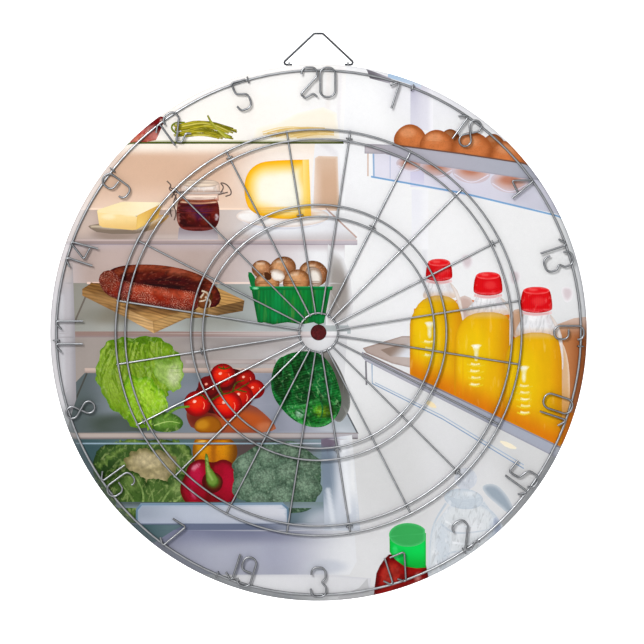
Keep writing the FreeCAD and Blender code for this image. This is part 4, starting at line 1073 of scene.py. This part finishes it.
def ink_cap(t, ink):
    c = darker(t, ink, noise(t, 420, 5), 0.34, 0.6, 0.2)
    return tinted(t, c, noise(t, 700), 0.58, 0.7, 0.25, (236, 196, 160))


def ink_cap_ribs(t, ink):
    c = darker(t, ink, bands(t, coords(t), 0.0017, 0.2, 1.0), 0.0, 0.5, 0.08)
    return tinted(t, c, noise(t, 300, stretch=(1, 1, 0.6)), 0.58, 0.74, 0.3, (255, 120, 120))


def ink_egg(t, ink):
    c = darker(t, ink, noise(t, 1300), 0.34, 0.48, 0.16)
    return darker(t, c, noise(t, 200), 0.36, 0.62, 0.09)


def ink_juice(t, ink):
    c = darker(t, ink, noise(t, 110, stretch=(1, 1, 0.3)), 0.36, 0.62, 0.07)
    return tinted(t, c, noise(t, 240, stretch=(1, 1, 0.25)), 0.6, 0.76, 0.22, (255, 232, 130))


def ink_glassy(t, ink):
    c = tinted(t, ink, noise(t, 240, 3, 1.5, stretch=(1, 1, 0.35), turn=8), 0.56, 0.7, 0.35, (250, 250, 252))
    return darker(t, c, noise(t, 330, 3, 1.5, stretch=(1, 1, 0.3), turn=-10), 0.34, 0.48, 0.2)


def ink_jelly(t, ink):
    c = darker(t, ink, noise(t, 160, 4, 1.0), 0.36, 0.6, 0.38)
    return tinted(t, c, noise(t, 260), 0.6, 0.74, 0.25, (180, 72, 64))


def ink_cheese(t, ink):
    return darker(t, ink, noise(t, 300, stretch=(0.5, 1, 1)), 0.36, 0.6, 0.02)


def ink_stalk(t, ink):
    c = darker(t, ink, noise(t, 600, stretch=(0.35, 1, 1)), 0.38, 0.6, 0.16)
    return tinted(t, c, noise(t, 500, stretch=(0.3, 1, 1)), 0.58, 0.72, 0.3, (226, 220, 130))


INKS = {ink.__name__[len("ink_"):]: ink
        for ink in (ink_plain, ink_leaf, ink_savoy, ink_florets, ink_curd, ink_sausage, ink_salami, ink_meat,
                    ink_wood, ink_ribs, ink_cap, ink_cap_ribs, ink_egg, ink_juice, ink_glassy, ink_jelly,
                    ink_cheese, ink_stalk)}


def print_material(kind):
    """Printed paper: the ink of its corners under the pattern of one kind of surface."""
    made = new_material("print_" + kind, Specular_IOR_Level=0.07)
    tree = made[1]
    ink = add(tree, "ShaderNodeAttribute", attribute_name="Ink").outputs["Color"]
    colour = darker(tree, INKS[kind](tree, ink), noise(tree, 1900, 2), 0.36, 0.6, 0.03)
    fibre = noise(tree, 1500, 4, stretch=(1, 1, 0.35), turn=24)
    return coat(made, colour, remap(tree, fibre, 0.3, 0.7, 0.5, 0.66), fibre, 0.00005, 0.35)


def paper_material():
    """The cut edge of the printed sheet."""
    made = new_material("print_paper_edge")
    tree = made[1]
    fibre = noise(tree, 1600, 4)
    return coat(made, two_tone(tree, fibre, 0.3, 0.7, (214, 206, 194), (240, 236, 228)), 0.8, fibre, 0.0001)


def wire_material(name, dark, light, lit_facing=0.97, low_rough=0.3, high_rough=0.4):
    """Zinc wire with painted shade at its sides and underneath and painted light along the front, set by
    which way the surface faces.
    """
    made = new_material(name, Metallic=1.0)
    tree = made[1]
    cloud = noise(tree, 160)
    normal = add(tree, "ShaderNodeSeparateXYZ")
    tree.links.new(add(tree, "ShaderNodeTexCoord").outputs["Normal"], normal.inputs[0])
    # painted light and shade: the colour runs from the shaded sides to the lit front as the surface turns to
    # face -Y
    front = remap(tree, normal.outputs["Y"], -0.5, -lit_facing)
    lit_front = two_tone(tree, cloud, 0.34, 0.66, lifted(light, -16), light)
    shaded_sides = two_tone(tree, cloud, 0.36, 0.64, dark, lifted(dark, 14))
    colour = darker(tree, mix(tree, front, shaded_sides, lit_front), noise(tree, 900), 0.3, 0.5, 0.06)
    rough = remap(tree, noise(tree, 240), 0.35, 0.65, low_rough, high_rough)
    return coat(made, colour, rough, cloud, 0.00002, 0.1)


def band_material():
    """Steel strip with drawing lines, grime and a few bright scratches."""
    made = new_material("steel_band", Metallic=1.0)
    tree = made[1]
    drawn = noise(tree, 2600, stretch=(0.04, 1, 0.04))
    cloud = noise(tree, 60, 4)
    scratch = remap(tree, noise(tree, 900, 2, stretch=(0.5, 0.08, 0.5)), 0.66, 0.7)
    grime = remap(tree, noise(tree, 220, 5, 0.6, stretch=(1, 2, 1)), 0.6, 0.72)
    colour = two_tone(tree, cloud, 0.35, 0.65, (160, 162, 165), (188, 190, 192))
    colour = darker(tree, colour, drawn, 0.34, 0.6, 0.2)
    colour = patches(tree, grime, 0.45, colour, (92, 84, 76))
    colour = patches(tree, scratch, 0.5, colour, (232, 232, 234))
    return coat(made, colour, remap(tree, drawn, 0.3, 0.7, 0.36, 0.54), drawn, 0.00005, 0.4)


def hardboard_material():
    """Brown hardboard with its screen-side weave, darker blotches and rubbed places."""
    made = new_material("hardboard")
    tree = made[1]
    fibre = noise(tree, 700, 5)
    blotch = noise(tree, 28, 4)
    rubbed = remap(tree, noise(tree, 120, stretch=(1, 1, 0.2), turn=35), 0.64, 0.72)
    weave = multiply(tree, *(bands(tree, coords(tree), 0.0026, 0.5, 1.0, way) for way in "XZ"))
    colour = two_tone(tree, fibre, 0.32, 0.68, (104, 72, 46), (158, 118, 80))
    colour = darker(tree, colour, blotch, 0.36, 0.6, 0.3)
    colour = darker(tree, colour, weave, 0.0, 0.5, 0.34)
    colour = patches(tree, rubbed, 0.4, colour, (190, 156, 116))
    return coat(made, colour, remap(tree, fibre, 0.3, 0.7, 0.62, 0.85), weave, 0.0004, 0.8)


def fibre_material():
    """Pressed plant fibre in layers."""
    made = new_material("pressed_fibre")
    tree = made[1]
    strand = noise(tree, 1600, 4, stretch=(1, 0.15, 1))
    layers = bands(tree, coords(tree), 0.0016, 1.4, 3.0, "Y", 3.0)
    colour = two_tone(tree, strand, 0.32, 0.68, (150, 122, 88), (214, 188, 148))
    colour = darker(tree, colour, layers, 0.0, 0.5, 0.2)
    return coat(made, colour, remap(tree, strand, 0.3, 0.7, 0.8, 0.95), strand, 0.0002, 0.8)


def plug_material():
    """Dark red plug: bristle ends, slightly darker towards its edge."""
    made = new_material("bull_plug", Specular_IOR_Level=0.2)
    tree = made[1]
    ends = cells(tree, coords(tree, (1, 0.15, 1)), 1900)
    colour = two_tone(tree, noise(tree, 420), 0.35, 0.65, (70, 8, 12), (98, 16, 20))
    colour = darker(tree, colour, ends, 0.75, 0.2, 0.35)
    reach = add(tree, "ShaderNodeVectorMath", operation="LENGTH")
    feed(tree, reach.inputs[0], coords(tree, (1, 0, 1)))
    colour = darker(tree, colour, reach.outputs["Value"], 0.0072, 0.0052, 0.5)
    return coat(made, colour, remap(tree, ends, 0.1, 0.8, 0.6, 0.85), ends, 0.0001)


def nail_material():
    """Steel nail heads with rust in patches."""
    made = new_material("nail_steel", Metallic=1.0)
    tree = made[1]
    rust = remap(tree, noise(tree, 700, 5), 0.56, 0.68)
    colour = two_tone(tree, noise(tree, 1500, 2), 0.3, 0.7, (130, 130, 132), (182, 182, 184))
    colour = patches(tree, rust, 0.7, colour, (120, 70, 40))
    return coat(made, colour, remap(tree, rust, 0, 1, 0.34, 0.8), noise(tree, 1100), 0.00008)


def rivet_material():
    """Scuffed aluminium."""
    made = new_material("rivet_aluminium", Metallic=1.0)
    tree = made[1]
    scuff = noise(tree, 1800, 4)
    colour = two_tone(tree, scuff, 0.35, 0.65, (176, 178, 182), (220, 221, 224))
    return coat(made, colour, remap(tree, scuff, 0.35, 0.65, 0.28, 0.46), scuff, 0.00005)


# ---------------------------------------------------------------- the printed sheet as one mesh
def hits(outline, xz):
    """Even-odd test of many points against one outline."""
    x, z = xz[:, 0], xz[:, 1]
    found = np.zeros(len(xz), bool)
    low, high = outline.min(axis=0), outline.max(axis=0)
    near = np.nonzero((x > low[0]) & (x < high[0]) & (z > low[1]) & (z < high[1]))[0]
    if not len(near):
        return found
    px, pz = x[near], z[near]
    inside = np.zeros(len(near), bool)
    for (x0, z0), (x1, z1) in zip(outline, np.roll(outline, -1, axis=0)):
        if z0 != z1:
            inside ^= ((z0 > pz) != (z1 > pz)) & (px < x0 + (pz - z0) / (z1 - z0) * (x1 - x0))
    found[near] = inside
    return found


def plan_points():
    """Grid points, rim rings, the plug's hole and every outline, as points and edges to triangulate."""
    points, edges = [], []
    rows = int(FLAT / (GRID * ROW_RATIO)) + 1
    for j in range(-rows, rows + 1):
        for i in range(-rows, rows + 1):
            x, z = (i + 0.5 * (j % 2)) * GRID, j * GRID * ROW_RATIO
            if PLUG_HOLE + 1 < math.hypot(x, z) < FLAT - GRID_MARGIN:
                points.append(Vector((x, z)))

    def loop(outline):
        start = len(points)
        points.extend(Vector((float(x), float(z))) for x, z in outline)
        edges.extend((start + k, start + (k + 1) % len(outline)) for k in range(len(outline)))

    for radius in [FLAT + ARC * k / EDGE_RINGS for k in range(EDGE_RINGS + 1)] + [SHEET_RADIUS]:
        loop(oval(0, 0, radius, radius, 0, RIM_STEPS))
    loop(oval(0, 0, PLUG_HOLE, PLUG_HOLE, 0, HOLE_STEPS))
    for outline, _, _, _ in shapes:
        loop(outline)
    return points, edges


def fold(x, z):
    """Where a point of the flat print lies once the print is wrapped over the rounded edge."""
    reach = math.hypot(x, z)
    if reach <= FLAT:
        return x, FACE_Y, z
    over = min(reach - FLAT, ARC)
    down = max(reach - FLAT - ARC, 0.0)
    radius = FLAT + EDGE * math.sin(over / EDGE)
    y = FACE_Y + EDGE - EDGE * math.cos(over / EDGE) + down
    return x / reach * radius, y, z / reach * radius


def build_sheet():
    """The printed sheet: each triangle takes the ink and surface of the topmost shape over it."""
    points, edges = plan_points()
    verts, _, tris, _, _, _ = delaunay_2d_cdt(points, edges, [], 0, MERGE, False)
    flat = np.array([(v.x, v.y) for v in verts])
    tris = np.array([t for t in tris if len(t) == 3])
    centre = flat[tris].mean(axis=1)
    reach = np.hypot(centre[:, 0], centre[:, 1])
    keep = (reach < SHEET_RADIUS) & (reach > PLUG_HOLE)
    tris, centre = tris[keep], centre[keep]
    owner = np.zeros(len(tris), int)
    for index, (outline, _, _, _) in enumerate(shapes):
        owner[hits(outline, centre)] = index
    # triangles face the front, towards -Y
    a, b, c = flat[tris[:, 0]], flat[tris[:, 1]], flat[tris[:, 2]]
    area = (b[:, 0] - a[:, 0]) * (c[:, 1] - a[:, 1]) - (b[:, 1] - a[:, 1]) * (c[:, 0] - a[:, 0])
    tris[area < 0] = tris[area < 0][:, ::-1]
    used, tris = np.unique(tris, return_inverse=True)
    tris = tris.reshape(-1, 3)
    flat = flat[used]

    mesh = bpy.data.meshes.new("printed_picture")
    mesh.from_pydata([Vector(fold(x, z)) * MM for x, z in flat], [], tris.tolist())
    kinds = sorted(set(finish for _, _, _, finish in shapes))
    for kind in kinds:
        mesh.materials.append(print_material(kind))
    mesh.materials.append(paper_material())
    kind_of = np.array([kinds.index(finish) for _, _, _, finish in shapes])
    mesh.polygons.foreach_set("material_index", kind_of[owner].astype(np.int32))
    ink = np.ones((len(tris), 3, 4))
    for index in np.unique(owner):
        outline, base, layers, _ = shapes[index]
        mine = np.nonzero(owner == index)[0]
        corners, where = np.unique(tris[mine], return_inverse=True)
        colour = np.tile(srgb(base), (len(corners), 1))
        for layer in layers:
            colour = layer(flat[corners], colour, outline)
        ink[mine, :, :3] = np.clip(to_linear(np.clip(colour, 0, 1)) - INK_DENSITY, INK_FLOOR,
                                   1)[where.reshape(-1, 3)]
    layer = mesh.color_attributes.new("Ink", "FLOAT_COLOR", "CORNER")
    layer.data.foreach_set("color", ink.reshape(-1))
    mesh.polygons.foreach_set("use_smooth", [True] * len(tris))
    close_sheet(mesh, len(kinds))
    return place("printed_picture", mesh)


def close_sheet(mesh, paper):
    """Turns the free edges inwards, so that the sheet has its thickness at the rim and at the plug."""
    bm = bmesh.new()
    bm.from_mesh(mesh)
    ink = bm.loops.layers.float_color["Ink"]
    inner = EDGE - SKIN
    outer_path = [(RADIUS - SKIN, LIP_Y), (RADIUS - SKIN, FACE_Y + EDGE)]
    for angle in map(math.radians, (30, 60, 90)):
        outer_path.append((FLAT + inner * math.cos(angle), FACE_Y + EDGE - inner * math.sin(angle)))
    free = [e for e in bm.edges if e.is_boundary]
    outer = [e for e in free if e.verts[0].co.xz.length > RADIUS * MM / 2]
    hole = [e for e in free if e not in outer]
    for start, path in ((outer, outer_path), (hole, [(PLUG_HOLE, FACE_Y + SKIN)])):
        ring = start
        for radius, y in path:
            made = bmesh.ops.extrude_edge_only(bm, edges=ring)["geom"]
            fresh = {g for g in made if isinstance(g, bmesh.types.BMVert)}
            for v in fresh:
                out = v.co.xz.normalized() * radius * MM
                v.co = Vector((out.x, y * MM, out.y))
            for face in (g for g in made if isinstance(g, bmesh.types.BMFace)):
                face.material_index = paper
                face.smooth = True
                for corner in face.loops:
                    corner[ink] = PAPER
            ring = [g for g in made if isinstance(g, bmesh.types.BMEdge) and fresh.issuperset(g.verts)]
        for edge in start:
            edge.smooth = False
    # extruded faces come in another order each run, so they are sorted by their corners
    bm.verts.index_update()
    settled = sorted(bm.faces, key=lambda f: [v.index for v in f.verts] if f.material_index == paper else [])
    for index, face in enumerate(settled):
        face.index = index
    bm.faces.sort()
    bm.to_mesh(mesh)
    bm.free()


sheet = build_sheet()
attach(sheet, "board")
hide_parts("printed_face")


# ---------------------------------------------------------------- weld nuggets where wires cross
WELD_FLATNESS = 0.7
SPIDER_WELD, SPIDER_WELD_BEHIND = 0.95, 0.55
DIGIT_WELD, DIGIT_WELD_BEFORE = 0.85, 0.95
CROSSING_REACH, CROSSING_SIZE = 0.35, 2.6


def blob(bm, centre, size, rng):
    """A small uneven lump of weld metal, flattened towards the board."""
    made = bmesh.ops.create_icosphere(bm, subdivisions=2, radius=1.0)
    for v in made["verts"]:
        wave = 1 + 0.12 * math.sin(4 * v.co.x + centre[0]) + rng.uniform(-0.05, 0.05)
        v.co = (Vector(centre) + Vector((v.co.x, v.co.y * WELD_FLATNESS, v.co.z)) * size * wave) * MM


def ring_radius(node):
    low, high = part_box(node)
    return (high[0] - low[0]) / 2 / MM - (high[1] - low[1]) / 2 / MM


def ring_y(node):
    low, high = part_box(node)
    return (low[1] + high[1]) / 2 / MM


def weld_piece(name, places):
    rng = random.Random(len(places))
    bm = bmesh.new()
    for centre, size in places:
        blob(bm, centre, size * rng.uniform(0.85, 1.12), rng)
    for face in bm.faces:
        face.smooth = True
    mesh = bpy.data.meshes.new(name)
    bm.to_mesh(mesh)
    bm.free()
    piece = place(name, mesh)
    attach(piece, "board")
    return piece


def spider_crossings():
    """Where the sector wires cross the rings of the spider."""
    places = []
    for name in ("treble_inner_ring", "treble_outer_ring", "double_inner_ring", "double_outer_ring"):
        r, y = ring_radius(name), ring_y(name) + SPIDER_WELD_BEHIND
        for a in (math.radians(9 + 18 * k) for k in range(20)):
            places.append(((r * math.sin(a), y, r * math.cos(a)), SPIDER_WELD))
    return places


def digit_crossings():
    """Where a digit's own vertices pass over the middle of the number ring, one place for each crossing."""
    places = []
    r, y = ring_radius("number_ring"), ring_y("number_ring") - DIGIT_WELD_BEFORE
    for name in (n for n in frame["nodes"] if n.startswith("number_") and not n.startswith("number_ring")):
        seen = [v.co.xz / MM for v in frame["nodes"][name].data.vertices]
        groups = []
        for p in (p for p in seen if abs(p.length - r) < CROSSING_REACH):
            for group in groups:
                if (group[0] - p).length < CROSSING_SIZE:
                    group.append(p)
                    break
            else:
                groups.append([p])
        for group in groups:
            middle = sum(group, Vector((0, 0))) / len(group)
            places.append(((middle.x, y, middle.y), DIGIT_WELD))
    return places


spider_welds = weld_piece("spider_welds", spider_crossings())
digit_welds = weld_piece("digit_welds", digit_crossings())

# ---------------------------------------------------------------- materials of the CAD nodes
# each wire material: the colour of its painted side shade, then of its painted front light; the welds share
# them
looks = {"spider_wire": wire_material("spider_zinc", (70, 72, 76), (194, 196, 199)),
         "digit_wire": wire_material("digit_zinc", (56, 58, 62), (172, 174, 177)),
         "staple_wire": wire_material("staple_zinc", (64, 66, 69), (168, 170, 172), 0.97, 0.34, 0.46),
         "hanger_wire": wire_material("hanger_zinc", (46, 48, 52), (104, 106, 110), 0.99, 0.46, 0.6),
         "hardboard": hardboard_material(), "nail_steel": nail_material(), "core_fibre": fibre_material(),
         "band_steel": band_material(), "rivet_aluminium": rivet_material(), "bull_red": plug_material()}
for part in frame["record"]["subparts"]:
    if part["material_slot"] in looks:
        for slot in frame["nodes"][part["node"]].material_slots:
            slot.material = looks[part["material_slot"]]
spider_welds.data.materials.append(looks["spider_wire"])
digit_welds.data.materials.append(looks["digit_wire"])


# ---------------------------------------------------------------- studio
def turned_stage(name, profile, steps=96):
    """A surface of revolution about Z, for the floor and the room's pale wall."""
    verts, faces = [], []
    for r, z in profile:
        verts += [(r * math.cos(2 * math.pi * k / steps), r * math.sin(2 * math.pi * k / steps), z)
                  for k in range(steps)]
    for i in range(len(profile) - 1):
        for k in range(steps):
            n = (k + 1) % steps
            faces.append((i * steps + k, i * steps + n, (i + 1) * steps + n, (i + 1) * steps + k))
    mesh = bpy.data.meshes.new(name)
    mesh.from_pydata(verts, [], faces)
    mesh.polygons.foreach_set("use_smooth", [True] * len(faces))
    piece = place(name, mesh)
    return piece


def stage_material(name, colour, glow=0.0):
    mat, tree, shader = new_material(name, Roughness=0.85, Emission_Color=(1, 1, 1, 1),
                                     Emission_Strength=glow)
    tone = noise(tree, 3)
    feed(tree, shader.inputs["Base Color"], two_tone(tree, tone, 0.3, 0.7, colour, lifted(colour, 4)))
    return mat


# a round floor that curves up into a pale wall, with a greyer wall above it
FLOOR_Z = cad_low.z - 0.42
FLOOR_RADIUS, COVE = 3.0, 1.1
WALL_RADIUS, WALL_TOP = FLOOR_RADIUS + COVE, FLOOR_Z + 1.3
floor_profile = [(0.001, FLOOR_Z), (FLOOR_RADIUS / 2, FLOOR_Z), (FLOOR_RADIUS, FLOOR_Z)]
for angle in map(math.radians, range(10, 91, 10)):
    floor_profile.append((FLOOR_RADIUS + COVE * math.sin(angle), FLOOR_Z + COVE - COVE * math.cos(angle)))
floor_profile.append((WALL_RADIUS, WALL_TOP))
shade_profile = [(WALL_RADIUS, WALL_TOP + 0.01), (WALL_RADIUS, FLOOR_Z + 3.2), (2.9, FLOOR_Z + 3.9)]
for name, profile, grey in (("studio_floor", floor_profile, (236, 236, 236)),
                            ("studio_shade", shade_profile, (160, 160, 162))):
    turned_stage(name, profile).data.materials.append(stage_material(name, grey))

# a bright backdrop straight behind the board
BACKDROP_Y, BACKDROP_HALF, BACKDROP_TOP = 3.05, 1.4, 1.3
corners = [(BACKDROP_HALF * side, BACKDROP_Y, z) for side, z in (
    (-1, FLOOR_Z + 0.003), (1, FLOOR_Z + 0.003), (1, BACKDROP_TOP), (-1, BACKDROP_TOP))]
backdrop_mesh = bpy.data.meshes.new("studio_backdrop")
backdrop_mesh.from_pydata(corners, [], [(0, 1, 2, 3)])
backdrop_mesh.materials.append(stage_material("studio_backdrop", (246, 246, 246), 1.0))
place("studio_backdrop", backdrop_mesh)

centre = (cad_low + cad_high) / 2
for name, stand, size, power in (("key", (-1.2, -2.5, 1.45), 0.9, 56), ("fill", (1.9, -2.4, 0.5), 1.6, 9),
                                 ("top", (-0.3, -0.7, 2.3), 1.2, 10), ("rear", (0.6, 2.4, 1.5), 1.6, 26)):
    lamp = bpy.data.lights.new(name, "AREA")
    lamp.shape = "DISK"
    lamp.size = size
    lamp.energy = power
    light = place(name, lamp)
    light.location = stand
    light.rotation_euler = (centre - Vector(stand)).to_track_quat("-Z", "Y").to_euler()

world = bpy.data.worlds.new("studio")
bpy.context.scene.world = world
world.use_nodes = True
sky = world.node_tree.nodes["Background"].inputs
sky["Color"].default_value = (0.96, 0.97, 1.0, 1)
sky["Strength"].default_value = 0.35
bpy.context.scene.view_settings.view_transform = "Standard"

# ---------------------------------------------------------------- camera: straight on, a little off centre
DISTANCE = 2.3
WIDTH_AT_FACE = 0.5387
SENSOR = 36.0
camera_data = bpy.data.cameras.new("camera")
camera_data.sensor_width = SENSOR
camera_data.lens = SENSOR * DISTANCE / WIDTH_AT_FACE
camera = place("camera", camera_data)
camera.location = (centre.x + 0.0029, cad_low.y - DISTANCE, centre.z - 0.0046)
camera.rotation_euler = (math.radians(90), 0, 0)
bpy.context.scene.camera = camera
